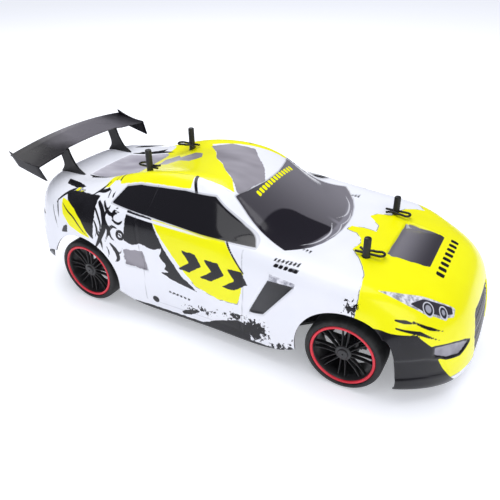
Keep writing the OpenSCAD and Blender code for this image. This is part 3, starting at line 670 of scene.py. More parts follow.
# Outlines from above, (X, Y), for one half or the whole
WINDSHIELD = ((24.5, -4), (24, 12), (22, 24), (19, 38), (14, 50), (31, 56), (51, 62.5), (69.5, 69.5),
              (76, 62), (83.5, 51), (89, 38), (93, 22), (94.5, 8), (94.5, -4))
# Outline of the windscreen's painted dark reflection zone, from above.
WINDSHIELD_SHADE = ((36, -80), (40, -56), (43, -40), (47, -29), (54, -22), (66, -18.5), (84, -11),
                    (100, -12), (100, -80))
REAR_WINDOW = ((-112, -4), (-112, 31), (-124, 34), (-152, 33), (-166, 30), (-168, -4))
DUCT = ((140, -4), (140, 29), (144, 30.5), (171, 28), (174, 26), (174, -4))
HOOD_TEAR = ((137, -100), (137, -87), (134, -66), (128, -54), (120, -43), (114, -36), (117, -24),
             (114, -16), (108, -7), (98, -4), (99, 4), (110, 4), (122, 1), (121, 12), (108, 27), (113, 33),
             (125, 36), (132, 57), (140, 63), (148, 66), (138, 78), (136, 100), (240, 100), (240, -100))
HEADLIGHT = ((147, 76.5), (158, 75), (170, 73), (182, 70), (194, 63), (201, 54), (200, 49), (190, 55),
             (176, 61), (163, 68.5))
HEADLIGHT_BOWL = ((171, 71), (182, 69), (193, 62), (200, 53.5), (198, 51), (189, 56.5), (178, 62))
# Outlines on the nose and on the tail, (Y, Z), for the left half
GRILLE = ((-4, 61), (23, 61), (27.5, 59), (32, 42), (28, 20), (17, 12.5), (-4, 12.5))
FOG_LAMP = ((73, 52), (60, 50.8), (49, 48), (43, 45), (55, 39), (66, 40.5), (74, 45))
TAIL_LAMP = ((40, 88), (58, 90.5), (76, 87), (84, 79), (74, 76), (56, 76.5), (43, 79))
DIFFUSER = ((-4, 58), (40, 58), (48, 55), (56, 44), (56, 30), (-4, 30))
BOOT_LINE = ((-4, 72), (30, 72), (36, 76), (37.4, 76), (31, 70.6), (-4, 70.6))


def livery(skin):
    """Distance fields, in mm, of every colour laid on the white shell, by layer."""
    roof_near = ((-108, 47), (-118, 30), (-122, 0), (-130, -24), (-128, -46.5), (12, -48), (2, -34),
                 (-12, -22), (-22, -10), (-36, 2), (-46, 18), (-61, 36), (-75, 47))
    far_line = ((-110, 39), (-60, 38), (-20, 41), (16, 43), (14, 50), (-118, 52))
    roof_grey = ((-61, 34), (-46, 18), (-36, 2), (-22, -10), (-12, -22), (2, -34), (13, -46), (18, -46),
                 (20, -30), (23, -14), (16, 0), (10, 8), (-4, 24), (-13, 36), (-40, 39))
    roof_patch = ((-104, 12), (-92, 20), (-84, 12), (-72, 22), (-60, 16), (-54, 4), (-62, -6), (-78, 0),
                  (-88, -8), (-100, -4))
    drips = [((x, 106.5), (x + 5, 107), (x + 3, 100 if k % 2 == 0 else 97))
             for k, x in enumerate(range(-150, -115, 7))]
    black_flicks = [
        ((-20, 18), (-8, 22), (1, 29), (-12, 26), (-22, 21)),
        ((-4, 14), (8, 20), (22, 27), (38, 33), (48, 30), (50, 12), (0, 12)),
        ((-155, 70), (-146, 72), (-145, 81), (-151, 77)),
        ((-40, 58), (-26, 62), (-12, 57), (-2, 49), (-16, 51), (-30, 54)),
    ]
    splats = [((38, 22), (44, 34), (54, 40), (62, 36), (66, 24), (56, 18)),
              ((70, 14), (74, 23), (82, 22), (88, 26), (91, 16), (82, 12)),
              ((22, 34), (34, 40), (44, 38), (36, 32)), ((90, 30), (96, 38), (97, 30)),
              ((-18, 27), (2, 31), (18, 34), (8, 29), (-14, 24)),
              ((128, 76), (133, 84), (138, 80), (136, 74))]
    bold = [stroke(catmull(line), width) for width, line in BOLD_STROKES]
    chevrons = [((x, 84 - 0.1 * x), (x + 13, 84 - 0.1 * x), (x + 19, 75 - 0.1 * x), (x + 7, 66 - 0.1 * x),
                 (x - 4, 66 - 0.1 * x), (x + 8, 75 - 0.1 * x)) for x in (-16, 6, 28)]
    dashes = (bars((-34, 38), (-10, 36), 6, 2.4, 0.3) + bars((66, 96), (88, 95), 7, 1.6, 0.3)
              + bars((67, 92.6), (88, 91.4), 5, 2.4, 0.3, 0.8))
    bumper_flicks = [stroke([(164, 74), (171, 73), (178, 71.5)], 2.4),
                     stroke([(176, 73), (188, 67), (197, 63)], 2.2),
                     stroke([(166, 69), (182, 65), (196, 57)], 2.6)]
    lid_marks = [((-176, 50), (-158, 55), (-140, 64), (-152, 66), (-170, 60)),
                 ((-160, 36), (-148, 38), (-136, 36), (-126, 37), (-122, 42), (-140, 41), (-156, 40))]
    rear_trim = stroke(catmull([(-165, 34), (-150, 36.5), (-128, 37), (-108, 34)]), 4.2)
    wipers = [stroke(catmull([(84, 4), (88.5, 20), (84, 40), (74, 55)]), 1.4),
              stroke(catmull([(90, -6), (93, 12), (89, 34)]), 1.1)]
    banner = bars((29.5, -34), (29.5, 34), 13, 5, 0.2, 0.66)
    hood_bars = bars((186, -32), (186, 32), 8, 6.5, 0.0, 0.6)
    windshield = skin.top_pair(WINDSHIELD, above=85)
    sill_of_glass = stroke(catmull([(-98, 104.6), (-60, 103.4), (-20, 102.2), (20, 100.4)]), 2.0)
    swoosh_line = stroke(catmull([(-156, 97), (-145, 92), (-136, 88), (-124, 78), (-118, 74)]), 1.5)
    gutter = stroke(catmull([(-112, 44), (-70, 47), (-20, 48), (15, 50)]), 1.1)
    glass_seam = ((-57.6, 106), (-56.4, 106), (-55.4, 126), (-56.6, 126))
    return {
        "yellow_torn": union([skin.top(HOOD_TEAR, above=20), skin.side(DOOR_PATCH) - 0.8,
                              skin.side(*drips)]),
        "yellow": union([skin.top(roof_near, far_line, above=112),
                         skin.side(RAIL_YELLOW, beyond=46),
                         np.minimum(skin.side(DOOR_PATCH), skin.z - 62)]),
        "grey": union([skin.top(roof_grey, roof_patch, above=112), skin.side(INTAKE),
                       skin.top_pair(REAR_WINDOW, above=90)]),
        "black_torn_and_sill_shadow": union([skin.side(REAR_PANEL, DOOR_PANEL, DOOR_BAND), skin.side(*black_flicks),
                             skin.top_pair(*lid_marks, above=90), skin.side(*chevrons) + 0.4,
                             # Painted shadow: a black band low along the sill, where the body's lower edge
                             # tucks into shade.
                             skin.side(((-75, 16.5), (90, 16), (92, 2), (-90, 2)))]),
        "splat": skin.side(*splats),
        "black": union([skin.side(BUMPER_SIDE), skin.side(*bold, *bumper_flicks, *dashes),
                        skin.top_pair(rear_trim, above=90), skin.front(FOG_LAMP) + 1.6,
                        skin.ring(-82, 84, 3.6, 2.6), skin.dot(-49.6, 25, 3.6), skin.dot(-82, 84, 1.2),
                        skin.side(((22.5, 102), (24.5, 102), (44.4, 80.6), (42.8, 80.2))),
                        skin.side(((-27, 136), (-24, 136), (-15.5, 126.5), (-18.5, 126.5)), beyond=46),
                        skin.side(((-106, 122), (-104, 122), (-99, 110), (-101, 110)),
                                  ((-111, 120), (-110, 120), (-104, 109), (-105.5, 109)), beyond=46),
                        skin.top(*hood_bars, above=70)]),
        "white": skin.side(((-101, 112), (-100, 118), (-109, 121), (-112, 114)), sill_of_glass),
        "swoosh": skin.side(SWOOSH),
        "swoosh_line": skin.side(swoosh_line),
        "silver": union([skin.side(VENT_BAR), skin.top_pair(HEADLIGHT, above=55)]),
        "fog": skin.front(FOG_LAMP) - 0.6,
        "dark": union([skin.side(VENT), skin.top_pair(DUCT, above=80), skin.front(GRILLE),
                       skin.top_pair(HEADLIGHT_BOWL, above=55), skin.rear(DIFFUSER)]),
        "tail": skin.rear(TAIL_LAMP),
        "lamps": skin.lamps(((183.5, 65.3), 4.3), ((193.6, 59.0), 3.5)),
        "glass": union([skin.side(SIDE_GLASS), windshield]),
        # Painted dark reflection zone on the windscreen.
        "shade": skin.top(rounded(WINDSHIELD_SHADE), above=85),
        "pane": windshield,
        "line": union([skin.side(*SHUT_LINES, glass_seam), skin.top_pair(gutter, above=112)]),
        "wipers": skin.top_pair(*wipers, above=80),
        "banner": skin.top(*banner, above=100),
    }


SLAT_PITCH, FIN_PITCH = 5.5, 14.0        # grille slats and diffuser fins


def relief(skin):
    """How far the pressed details stand in from the smooth surface, in mm."""
    def pocket(field, depth, soft=1.4):
        return depth * smoothstep(field / soft + 0.5)

    slats = 0.5 + 0.5 * np.cos(skin.z * 2 * math.pi / SLAT_PITCH)
    fins = np.cos(skin.out * 2 * math.pi / FIN_PITCH)
    grille, diffuser = skin.front(GRILLE), skin.rear(DIFFUSER)
    duct = skin.top_pair(DUCT, above=80)
    ramp = np.clip((174 - skin.x) / 30, 0.15, 1)
    windows = (pocket(skin.side(SIDE_GLASS), 0.7) + pocket(skin.top_pair(WINDSHIELD, above=85), 0.7)
               + pocket(skin.top_pair(REAR_WINDOW, above=90), 0.7))
    bonnet = pocket(duct, 4.0) * ramp - pocket(duct + 2.4, 0.5) * (duct < 0.6)
    nose = (pocket(grille, 3.0) - pocket(grille - 1.2, 2.0) * slats + pocket(skin.front(FOG_LAMP), 1.4)
            + pocket(skin.top_pair(HEADLIGHT, above=55), 0.5))
    tail = (pocket(skin.rear(TAIL_LAMP), 1.2) + pocket(diffuser, 2.0)
            - pocket(np.minimum(diffuser - 1.5, 4 * fins - 2.6), 1.4)
            + 0.5 * smoothstep(skin.rear(BOOT_LINE) + 0.6))
    sides = (pocket(skin.side(VENT), 2.4) - pocket(skin.side(VENT_BAR), 0.9) + pocket(skin.side(INTAKE), 1.8)
             + pocket(skin.side(BUMPER_LEDGE), 1.3, 3.0) + 0.35 * smoothstep(skin.side(*SHUT_LINES) + 0.6))
    return windows + bonnet + nose + tail + sides


ARCH_INNER_Y, HOLE_LOW_Z = 70, 60        # arches are cut outside this Y, post holes above this Z


def keep_field(grid, posts, arches):
    """Positive where the shell is kept, negative in the wheel arches and post holes, in mm."""
    x, y, z = np.moveaxis(grid, -1, 0)
    field = np.full(x.shape, REACH)
    for centre_x, centre_z, radius in arches:
        beyond = np.hypot(x - centre_x, z - centre_z) - radius
        field = np.minimum(field, np.maximum(beyond, ARCH_INNER_Y - np.abs(y)))
    for post_x, post_y, radius in posts:
        field = np.minimum(field, np.maximum(np.hypot(x - post_x, y - post_y) - radius, HOLE_LOW_Z - z))
    return field


def cut_grid(grid, keep, extras):
    """The grid's quads cut along keep = 0. Returns points, faces and the extras at the points."""
    rows, columns = keep.shape
    flat_keep = keep.reshape(-1)
    flat = [e.reshape(rows * columns, -1) for e in [grid, *extras]]
    used, points = {}, []

    def corner(key, values):
        if key not in used:
            used[key] = len(points)
            points.append(values)
        return used[key]

    def on_grid(a):
        return corner((a, a), [f[a] for f in flat])

    def on_edge(a, b):
        a, b = min(a, b), max(a, b)
        t = flat_keep[a] / (flat_keep[a] - flat_keep[b])
        return corner((a, b), [f[a] * (1 - t) + f[b] * t for f in flat])

    faces = []
    for i in range(rows - 1):
        for j in range(columns - 1):
            here, ahead = i * columns + j, (i + 1) * columns + j
            quad = [here, here + 1, ahead + 1, ahead]
            inside = [flat_keep[a] > 0 for a in quad]
            if all(inside):
                faces.append([on_grid(a) for a in quad])
            elif any(inside):
                face = []
                for k, a in enumerate(quad):
                    b = quad[(k + 1) % 4]
                    if inside[k]:
                        face.append(on_grid(a))
                    if inside[k] != inside[(k + 1) % 4]:
                        face.append(on_edge(a, b))
                faces.append(face)
    columns_out = [np.array([p[k] for p in points]) for k in range(len(flat))]
    return columns_out[0], faces, columns_out[1:]


def border_edges(faces):
    """Edges that belong to one face, in that face's direction."""
    seen = {}
    for face in faces:
        for a, b in zip(face, face[1:] + face[:1]):
            seen.setdefault((min(a, b), max(a, b)), []).append((a, b))
    return [uses[0] for uses in seen.values() if len(uses) == 1]


class FilmShader(Shader):
    """The shell's film. Its colours are cut from the distance fields stored on the mesh, in mm."""

    def __init__(self):
        super().__init__("shell_film")
        ragged = self.minus(self.noise(5, 7, 0.62), 0.5)
        brushed = self.minus(self.noise(2.2, 6, 0.6, (5, 5, 1.2)), 0.5)
        self.tear = self.plus(self.times(ragged, 5.0), self.times(brushed, 5.0))
        split = self.node("ShaderNodeSeparateXYZ", Vector=self.place)
        self.x, self.y, self.z = (split.outputs[axis] for axis in "XYZ")
        self.ink = self.cloudy(14, 4, (0.007, 0.0065, 0.009), (0.011, 0.0105, 0.014))
        self.white = self.cloudy(60, 3, (0.83, 0.84, 0.9), (0.87, 0.875, 0.925))
        self.fluoro = self.cloudy(60, 3, (0.9, 0.86, 0.0), (0.94, 0.92, 0.002))

    def cloudy(self, size, detail, dark, pale):
        """Two close tones in soft patches of that size in mm."""
        return self.mix(self.remap(self.noise(size, detail), 0.3, 0.7), dark, pale)

    def field(self, layer, wander=0.0):
        """Distance inside a layer's outline; wander tears the outline."""
        value = self.attribute(layer)
        return self.plus(value, self.times(self.tear, wander)) if wander else value

    def cover(self, layer, wander=0.0):
        """A layer's share of the colour, with an edge half a millimetre soft."""
        return self.remap(self.field(layer, wander), -0.25, 0.25)

    def lay(self, colour, layer, paint, wander=0.0, strength=1.0):
        """One layer's paint over the colour so far."""
        share = self.cover(layer, wander)
        if strength < 1:
            share = self.times(share, strength)
        return self.mix(share, colour, paint)


def torn_colours(s):
    """White, then the yellow, grey and black areas with their torn edges, a painted shadow along the sill,
    and the splashes.
    """
    cloud = s.remap(s.noise(34, 2, 0.5, (1.6, 0.8, 1)), 0.3, 0.7)
    lilac = s.mix(cloud, (0.25, 0.235, 0.265), (0.37, 0.35, 0.39))
    rear_lilac = s.mix(cloud, (0.4, 0.38, 0.44), (0.62, 0.6, 0.66))
    lilac = s.mix(s.remap(s.x, -0.105, -0.125), lilac, rear_lilac)

    torn = s.field("yellow_torn", 0.28)
    outline = s.times(s.remap(torn, -0.9, -0.5), s.remap(torn, 0.1, -0.1))
    gaps = s.remap(s.noise(11, 3), 0.42, 0.5)
    broken = s.times(s.times(outline, gaps), 0.75)
    colour = s.mix(broken, s.white, (0.03, 0.03, 0.03))
    colour = s.mix(s.remap(torn, -0.2, 0.2), colour, s.fluoro)
    colour = s.lay(colour, "yellow", s.fluoro, 0.3)
    colour = s.lay(colour, "grey", lilac, 0.45)
    # Black torn paint, with the painted shadow band along the sill.
    colour = s.lay(colour, "black_torn_and_sill_shadow", s.ink, 0.36)

    drops = s.minus(s.noise(3.4, 5, 0.62), 0.52)
    splash = s.plus(s.field("splat"), s.times(drops, 34.0))
    near = s.remap(s.field("splat"), -7, -5)
    return s.mix(s.times(s.remap(splash, -0.4, 0.4), near), colour, s.ink)


def printed_details(s, colour):
    """Strokes, lamps, vents and other printed parts of the bodywork."""
    silver = s.mix(s.remap(s.noise(4, 3), 0.35, 0.65), (0.28, 0.28, 0.33), (0.8, 0.8, 0.86))
    fog = s.cloudy(9, 2, (0.25, 0.24, 0.28), (0.36, 0.35, 0.4))
    vent = s.mix(s.remap(s.x, 0.05, 0.09), (0.05, 0.05, 0.055), (0.016, 0.016, 0.018))
    duct = s.mix(s.remap(s.x, 0.14, 0.172), (0.2, 0.19, 0.22), (0.04, 0.037, 0.046))
    red = s.mix(s.remap(s.noise(5, 3, 0.5, (1, 1, 4)), 0.35, 0.65), (0.2, 0.003, 0.006), (0.42, 0.01, 0.014))
    lens = s.mix(s.remap(s.field("tail"), 1.4, 1.8), (0.012, 0.011, 0.014), red)
    lamp = s.field("lamps")
    bulb = s.mix(s.remap(lamp, 0.6, 0.9), (0.6, 0.6, 0.66), (0.03, 0.03, 0.04))
    bulb = s.mix(s.remap(lamp, 1.7, 2.4), bulb, (0.34, 0.34, 0.4))

    colour = s.lay(colour, "black", s.ink, 0.06)
    colour = s.lay(colour, "white", s.white, 0.06)
    colour = s.lay(colour, "swoosh", s.fluoro, 0.1)
    colour = s.lay(colour, "swoosh_line", s.ink, 0.05)
    colour = s.lay(colour, "silver", silver)
    colour = s.lay(colour, "fog", fog)
    colour = s.lay(colour, "dark", s.mix(s.remap(s.x, 0.12, 0.13), vent, duct))
    colour = s.lay(colour, "tail", lens)
    return s.mix(s.remap(lamp, -0.2, 0.2), colour, bulb)


def windows(s, colour):
    """Dark printed glass with painted reflection on the windscreen: lighter towards the far side, a painted
    dark zone and a painted pale band along the cowl; near-black side and rear panes.
    """
    inside = s.field("pane")
    # Painted reflection: the windscreen lighter towards the far (left) side.
    pane = s.mix(s.remap(s.y, -0.055, 0.055), (0.06, 0.056, 0.066), (0.2, 0.19, 0.215))
    # Painted dark reflection zone over the lower near part of the windscreen.
    pane = s.mix(s.remap(s.field("shade"), -1.2, 1.2), pane, (0.014, 0.0125, 0.018))
    # Painted highlight: a pale band along the bottom of the windscreen at the cowl.
    painted_cowl_highlight = s.times(s.remap(s.x, 0.076, 0.09), s.remap(inside, 7.0, 5.0))
    pane = s.mix(s.times(painted_cowl_highlight, 0.7), pane, (0.27, 0.26, 0.3))
    pane = s.mix(s.remap(inside, -1.0, 0.0), (0.0105, 0.01, 0.013), pane)
    glass = s.field("glass")
    rim = s.times(s.remap(glass, -1.1, -0.8), s.remap(glass, 0.1, -0.1))
    colour = s.mix(s.times(rim, 0.35), colour, (0.2, 0.2, 0.22))
    return s.lay(colour, "glass", pane)


def shell_material():
    """Painted polycarbonate: the livery with painted reflection on the windscreen and a painted shadow along
    the sill, a little dust low down, faint speckle and a gloss coat.
    """
    s = FilmShader()
    colour = windows(s, printed_details(s, torn_colours(s)))
    colour = s.lay(colour, "line", (0.05, 0.05, 0.055), strength=0.3)
    colour = s.lay(colour, "wipers", (0.72, 0.72, 0.76), strength=0.7)
    colour = s.lay(colour, "banner", s.fluoro)

    dust = s.times(s.remap(s.noise(1.1, 5, 0.7), 0.66, 0.74), s.remap(s.z, 0.06, 0.01))
    colour = s.mix(s.times(dust, 0.35), colour, (0.4, 0.38, 0.36))
    speckle = s.remap(s.noise(0.9, 2), 0.74, 0.76)
    colour = s.mix(s.times(speckle, 0.05), colour, (0.3, 0.3, 0.3))
    haze = s.remap(s.noise(18, 4), 0.3, 0.7, 0.24, 0.27)
    roughness = s.minus(haze, s.times(s.cover("glass"), 0.13))
    peel = s.bump(s.noise(2.4, 2), 0.06, 0.03)
    inner_face = s.node("ShaderNodeNewGeometry").outputs["Backfacing"]
    colour = s.mix(inner_face, colour, (0.55, 0.55, 0.56))
    return s.finish(Base_Color=colour, Roughness=roughness, Coat_Weight=0.22, Coat_Roughness=0.06,
                    Normal=s.bump(s.noise(60, 2), 0.12, 0.2, peel), Specular_IOR_Level=0.25)


def edge_material():
    """The trimmed edge of the film: dark, with knife marks."""
    s = Shader("shell_edge")
    cut = s.noise(1.4, 5, 0.6)
    body = s.mix(cut, (0.02, 0.02, 0.022), (0.10, 0.10, 0.11))
    return s.finish(Base_Color=body, Roughness=s.remap(cut, 0.3, 0.7, 0.4, 0.6),
                    Normal=s.bump(cut, 0.5, 0.15))


def lining_material():
    """Inside of the shell: backing paint, sprayed thin, with overspray and a matt dry surface."""
    s = Shader("shell_lining")
    spray = s.remap(s.noise(30, 6), 0.35, 0.7)
    body = s.mix(spray, (0.36, 0.37, 0.40), (0.62, 0.63, 0.66))
    return s.finish(Base_Color=body, Roughness=s.remap(spray, 0, 1, 0.55, 0.75),
                    Normal=s.bump(s.noise(0.8, 4), 0.4, 0.06))


def post_spots():
    """(end, side, X, Y, low Z, high Z) of the four body posts, from the CAD node."""
    co = np.array([v.co for v in frame["nodes"]["body_posts"].data.vertices]) / MM
    spots = []
    for end in (1, -1):
        for side in (RIGHT, LEFT):
            own = co[(co[:, 0] * end > 0) & (co[:, 1] * side > 0)]
            low, high = own.min(0), own.max(0)
            middle = (low + high) / 2
            spots.append((end, side, middle[0], middle[1], low[2], high[2]))
    return spots


SHELL_STEP, FILM = 1.7, 1.2              # size of the shell's quads, thickness of its film
POST_HOLE, ARCH = 3.6, 40.0              # radii cut out round the posts and over the wheels


def add_lip(points, faces, normals):
    """Adds the film's thickness along every free edge, and says how many points and faces it added."""
    border = border_edges(faces)
    rim = sorted({i for edge in border for i in edge})
    inner = {a: len(points) + k for k, a in enumerate(rim)}
    lip = np.array([points[a] - FILM * normals[a] for a in rim])
    faces = faces + [[b, a, inner[a], inner[b]] for a, b in border]
    return np.concatenate([points, lip]), faces, len(lip), len(border)


def body_shell():
    """The printed shell with its pressed details, cut edges and colour layers, and its lining."""
    grid = shell_grid(SHELL_STEP)
    skin = Skin(grid)
    layers = livery(skin)
    grid = grid - relief(skin)[..., None] * grid_normals(grid)
    normals = grid_normals(grid)
    wheels = [np.mean(node_box(node), axis=0) for node in ("tyre_front_left", "tyre_rear_left")]
    arches = [(w[0], w[2], ARCH) for w in wheels]
    holes = [(x, y, POST_HOLE) for _, _, x, y, _, _ in post_spots()]
    keep = keep_field(skin.grid, holes, arches)
    points, faces, extras = cut_grid(grid, keep, [normals, *layers.values()])
    point_normals, fields = extras[0], extras[1:]
    points, faces, lip_points, lip_faces = add_lip(points, faces, point_normals)
    index = [0] * (len(faces) - lip_faces) + [1] * lip_faces
    shell = make_piece("printed_shell", (points, faces), "shell_film", "chassis", ["body_shell"],
                       materials=[shell_material(), edge_material()], face_material=index)
    for name, values in zip(layers, fields):
        layer = shell.data.attributes.new(name, "FLOAT", "POINT")
        values = np.concatenate([values[:, 0], np.full(lip_points, -REACH)])
        layer.data.foreach_set("value", values.astype(np.float32))

    coarse = slice(None, None, 3)
    thin = grid[coarse, coarse] - (FILM + 0.1) * normals[coarse, coarse]
    wider = [(x, z, radius + 0.2) for x, z, radius in arches]
    thin_points, thin_faces, _ = cut_grid(thin, keep_field(skin.grid[coarse, coarse], holes, wider), [])
    make_piece("shell_lining", (thin_points, [face[::-1] for face in thin_faces]), "shell_film", "chassis",
               materials=[lining_material()])


# ---------------------------------------------------------------- wing, wheels, posts and clips
def rear_wing():
    """An arched blade between two end plates."""
    low, high = node_box("rear_wing")
    front_x, back_x, half = high[0] - 6.0, low[0] + 0.4, high[1] - 1.0
    arch, blade_low, thick, reach = 6.0, 124.6, 2.6, 5.0

    def blade_section(y):
        """A closed loop round the blade at Y. The blade arches, and reaches forward near its ends."""
        share = abs(y) / half
        lead = front_x + reach * (smoothstep((share - 0.42) / 0.16) - 1)
        upper, lower = [], []
        for t in np.linspace(0, 1, 15):
            depth = thick * (0.35 + 0.65 * math.sin(math.pi * min(t * 1.15 + 0.04, 1)) ** 0.6)
            x, z = lead + (back_x - lead) * t, blade_low + 6 * t * t + arch * (1 - share ** 2)
            upper.append((x, y, z + depth / 2))
            lower.append((x, y, z - depth / 2))
        return upper + lower[::-1]

    def end_plate(side):
        """A plate that leans forward and in to its foot, and stands above the blade towards the rear."""
        rings = []
        for t in np.linspace(0, 1, 16):
            top_x, top_z = front_x + (back_x - front_x) * t, blade_low + 6 * t * t + 1.1 + 3.2 * t ** 2
            foot_x, foot_z = front_x + 6 - 36 * t, 111.6 + 9 * t
            thin = 0.9 if 0 < t < 1 else 0.5
            foot_y, top_y = half - 2.2, half - 0.1
            rings.append([(foot_x, side * (foot_y - thin), foot_z), (foot_x, side * (foot_y + thin), foot_z),
                          (top_x, side * (top_y + thin), top_z), (top_x, side * (top_y - thin), top_z)])
        return loft(rings if side == LEFT else [ring[::-1] for ring in rings])

    blade = loft([blade_section(y) for y in np.linspace(0.4 - half, half - 0.4, 49)])
    parts = joined([blade, end_plate(RIGHT), end_plate(LEFT)])
    make_piece("arched_wing", parts, "wing_plastic", "chassis", ["rear_wing"], sharp=35)


def wing_stays():
    """Two swept plates with slightly rounded faces that hold the wing up."""
    low, high = node_box("wing_struts")
    x, foot, top = high[0], low[2], high[2]
    half = 1.25                          # half of a stay's thickness
    front = catmull([(x, foot), (x - 10, foot + 7), (x - 16, foot + 17), (x - 19, top)], 8)
    back = catmull([(x - 32, top), (x - 28.5, foot + 15), (x - 28, foot + 7), (low[0], foot)], 8)
    outline = np.concatenate([front, back])
    centre = outline.mean(0)
    stays = []
    for side in (RIGHT, LEFT):
        rings = []
        for y, inset in ((-half, 0.96), (-0.95, 1.0), (0.95, 1.0), (half, 0.96)):
            ring = centre + (outline - centre) * inset
            rings.append([(ring_x, side * (high[1] - half) + y, ring_z) for ring_x, ring_z in ring])
        stays.append(loft(rings))
    make_piece("wing_stays", joined(stays), "strut_plastic", "chassis", ["wing_struts"], sharp=40)


def wheel(end, name, side, body):
    """A drift tyre and a dished rim with paired spokes and a red lip."""
    low, high = node_box(f"tyre_{end}_{name}")
    centre = (low + high) / 2
    radius, width = (high[2] - low[2]) / 2, high[1] - low[1]
    centre[1] = low[1] if side == LEFT else high[1]
    tyre = rounded([(27.0, 1.4), (28.4, 0.0), (radius - 3.6, 0.0), (radius - 1.1, 0.8),
                    (radius - 0.15, 3.0), (radius, 6.0), (radius, width - 6), (radius - 0.15, width - 3.0),
                    (radius - 1.1, width - 0.8), (radius - 3.4, width), (radius - 3.7, width - 0.25),
                    (radius - 4.0, width), (27.6, width - 0.1), (26.9, width - 0.9), (26.6, width - 3),
                    (26.6, 3.0)])
    make_piece(f"drift_tyre_{end}_{name}", lathe(tyre, centre, side), "tyre_compound", body,
               [f"tyre_{end}_{name}"], sharp=40)

    parts, index = [], []

    def add(part, material):
        parts.append(part)
        index.extend([material] * len(part[1]))

    add(lathe(rounded([(24.4, width - 2.2), (24.5, width - 0.9), (25.0, width - 0.35), (26.2, width - 0.35),
                       (26.8, width - 0.9), (26.8, width - 2.2)]), centre, side), 1)
    add(lathe(rounded([(23.6, 0.6), (27.6, 0.6), (27.4, 2.0), (26.4, 3.0), (26.4, width - 3),
                       (26.8, width - 2), (26.6, width - 1.2), (24.4, width - 1.2), (23.5, width - 4),
                       (23.4, width - 9), (24.4, width - 13)], 2), centre, side), 0)
    add(lathe(rounded([(2.7, 6.0), (6.4, 6.0), (6.7, 8), (6.9, width - 6), (6.7, width - 4.4),
                       (6.2, width - 3.9), (4.4, width - 3.7), (4.1, width - 2.7), (3.4, width - 2.4),
                       (0.2, width - 2.4), (0.2, width - 6), (2.7, width - 6.4)], 2), centre, side, 64), 0)
    pairs = 8
    for k in range(pairs):
        for lean in (-1, 1):
            add(spoke(centre, side, width, 2 * math.pi * k / pairs, lean), 0)
    make_piece(f"spoked_rim_{end}_{name}", joined(parts), "rim_plastic", body, [f"rim_{end}_{name}"],
               sharp=40, materials=[FINISHES["rim_plastic"], LIP], face_material=index)


def spoke(centre, side, width, angle, lean):
    """One slim spoke of a pair, dished towards the hub, with rounded edges."""
    rings = []
    inner, outer = 5.6, 24.0             # radii where the spoke starts and ends
    for share in np.linspace(0, 1, 9):
        r = inner + (outer - inner) * share
        aside = lean * (1.7 + 1.1 * share)
        half = 0.78 - 0.16 * math.sin(share * math.pi)
        face = width - 4.3 - 0.9 * math.sin(share * math.pi)
        back = face - 3.2 - 0.8 * (1 - share)
        ring = []
        for u, v in rounded([(-half, back), (half, back), (half * 0.75, face), (-half * 0.75, face)], 3):
            x = r * math.cos(angle) - (aside + u) * math.sin(angle)
            z = r * math.sin(angle) + (aside + u) * math.cos(angle)
            ring.append((centre[0] + x, centre[1] + side * v, centre[2] + z))
        rings.append(ring if side == LEFT else ring[::-1])
    return loft(rings)


def posts_and_clips():
    """Four body posts, and a bent wire clip through each."""
    parts = []
    for end, side, x, y, low, high in post_spots():
        profile = [(0.05, low), (4.8, low), (4.9, low + 2.4), (3.4, low + 3.2), (3.0, low + 5),
                   (3.0, high - 1.4), (2.6, high - 0.4), (1.6, high), (0.05, high)]
        rings = [[(x + r * math.cos(a), y + r * math.sin(a), z)
                  for a in np.linspace(0, 2 * math.pi, 40, endpoint=False)] for r, z in profile]
        parts.append(loft(rings))
    make_piece("shell_posts", joined(parts), "post_plastic", "chassis", ["body_posts"], sharp=35)

    for end, side, x, y, _, _ in post_spots():
        name = f"clip_{'front' if end > 0 else 'rear'}_{'right' if side == RIGHT else 'left'}"
        low, high = node_box(name)
        z = (low[2] + high[2]) / 2
        wire = (high[2] - low[2]) / 2
        beside = 3 + wire + 0.15
        eye = 3.6
        leg = [(-9, 0), (-3, 0), (2, 0), (7, 0)]
        turn = np.radians(np.arange(-90, 91, 22.5))
        bend = [(10 + eye * math.cos(a), eye + eye * math.sin(a)) for a in turn]
        spring_leg = [(6, beside + 1.6), (3.5, beside + 1.8), (0, beside)]
        spring_leg += [(-4, beside + 0.4), (-7, beside + 2.6)]
        path = catmull([(x + end * u, y - side * v, z) for u, v in leg + bend + spring_leg], 5)
        make_piece(f"wire_{name}", tube(path, wire, 14), "clip_wire", name, [name], sharp=50)


def coil(eye, along, radius, turns, near, far):
    """A wire's path round the line from eye along a damper, with its end turns closed up."""
    aside = np.cross(along, (0, 1, 0) if abs(along[1]) < 0.9 else (1, 0, 0))
    aside /= np.linalg.norm(aside)
    over = np.cross(along, aside)
    share = np.linspace(0, 1, 24 * turns + 1)
    angle = 2 * math.pi * turns * share
    down = near + (far - near) * (share - 0.45 * np.sin(2 * math.pi * share) / (2 * math.pi))
    around = np.cos(angle)[:, None] * aside + np.sin(angle)[:, None] * over
    return eye + down[:, None] * along + radius * around


def springs():
    """Coil springs laid between a damper's cylinder and its piston, with their end turns closed up."""
    joints = {joint["name"]: joint for joint in frame["record"]["behaviour"]["joints"]}
    near, wire = 9.8, 0.65
    rows = [("damper_spring", "damper_tilt", "damper_stroke", 5.6, 7, 54.0)]
    rows += [(f"shock_spring_{name}", f"shock_tilt_{name}", f"shock_stroke_{name}", 5.2, 5, 36.7)
             for name in ("right", "left")]
    for node, tilt, slide, radius, turns, far in rows:
        eye = np.array(joints[tilt]["pos_m"]) / MM
        along = np.array(joints[slide]["axis"]) / np.linalg.norm(joints[slide]["axis"])
        mesh = tube(coil(eye, along, radius, turns, near, far), wire, 10)
        piece = make_piece(f"coil_{node}", mesh, "spring_steel", None)
        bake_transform(piece)
        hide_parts(node)


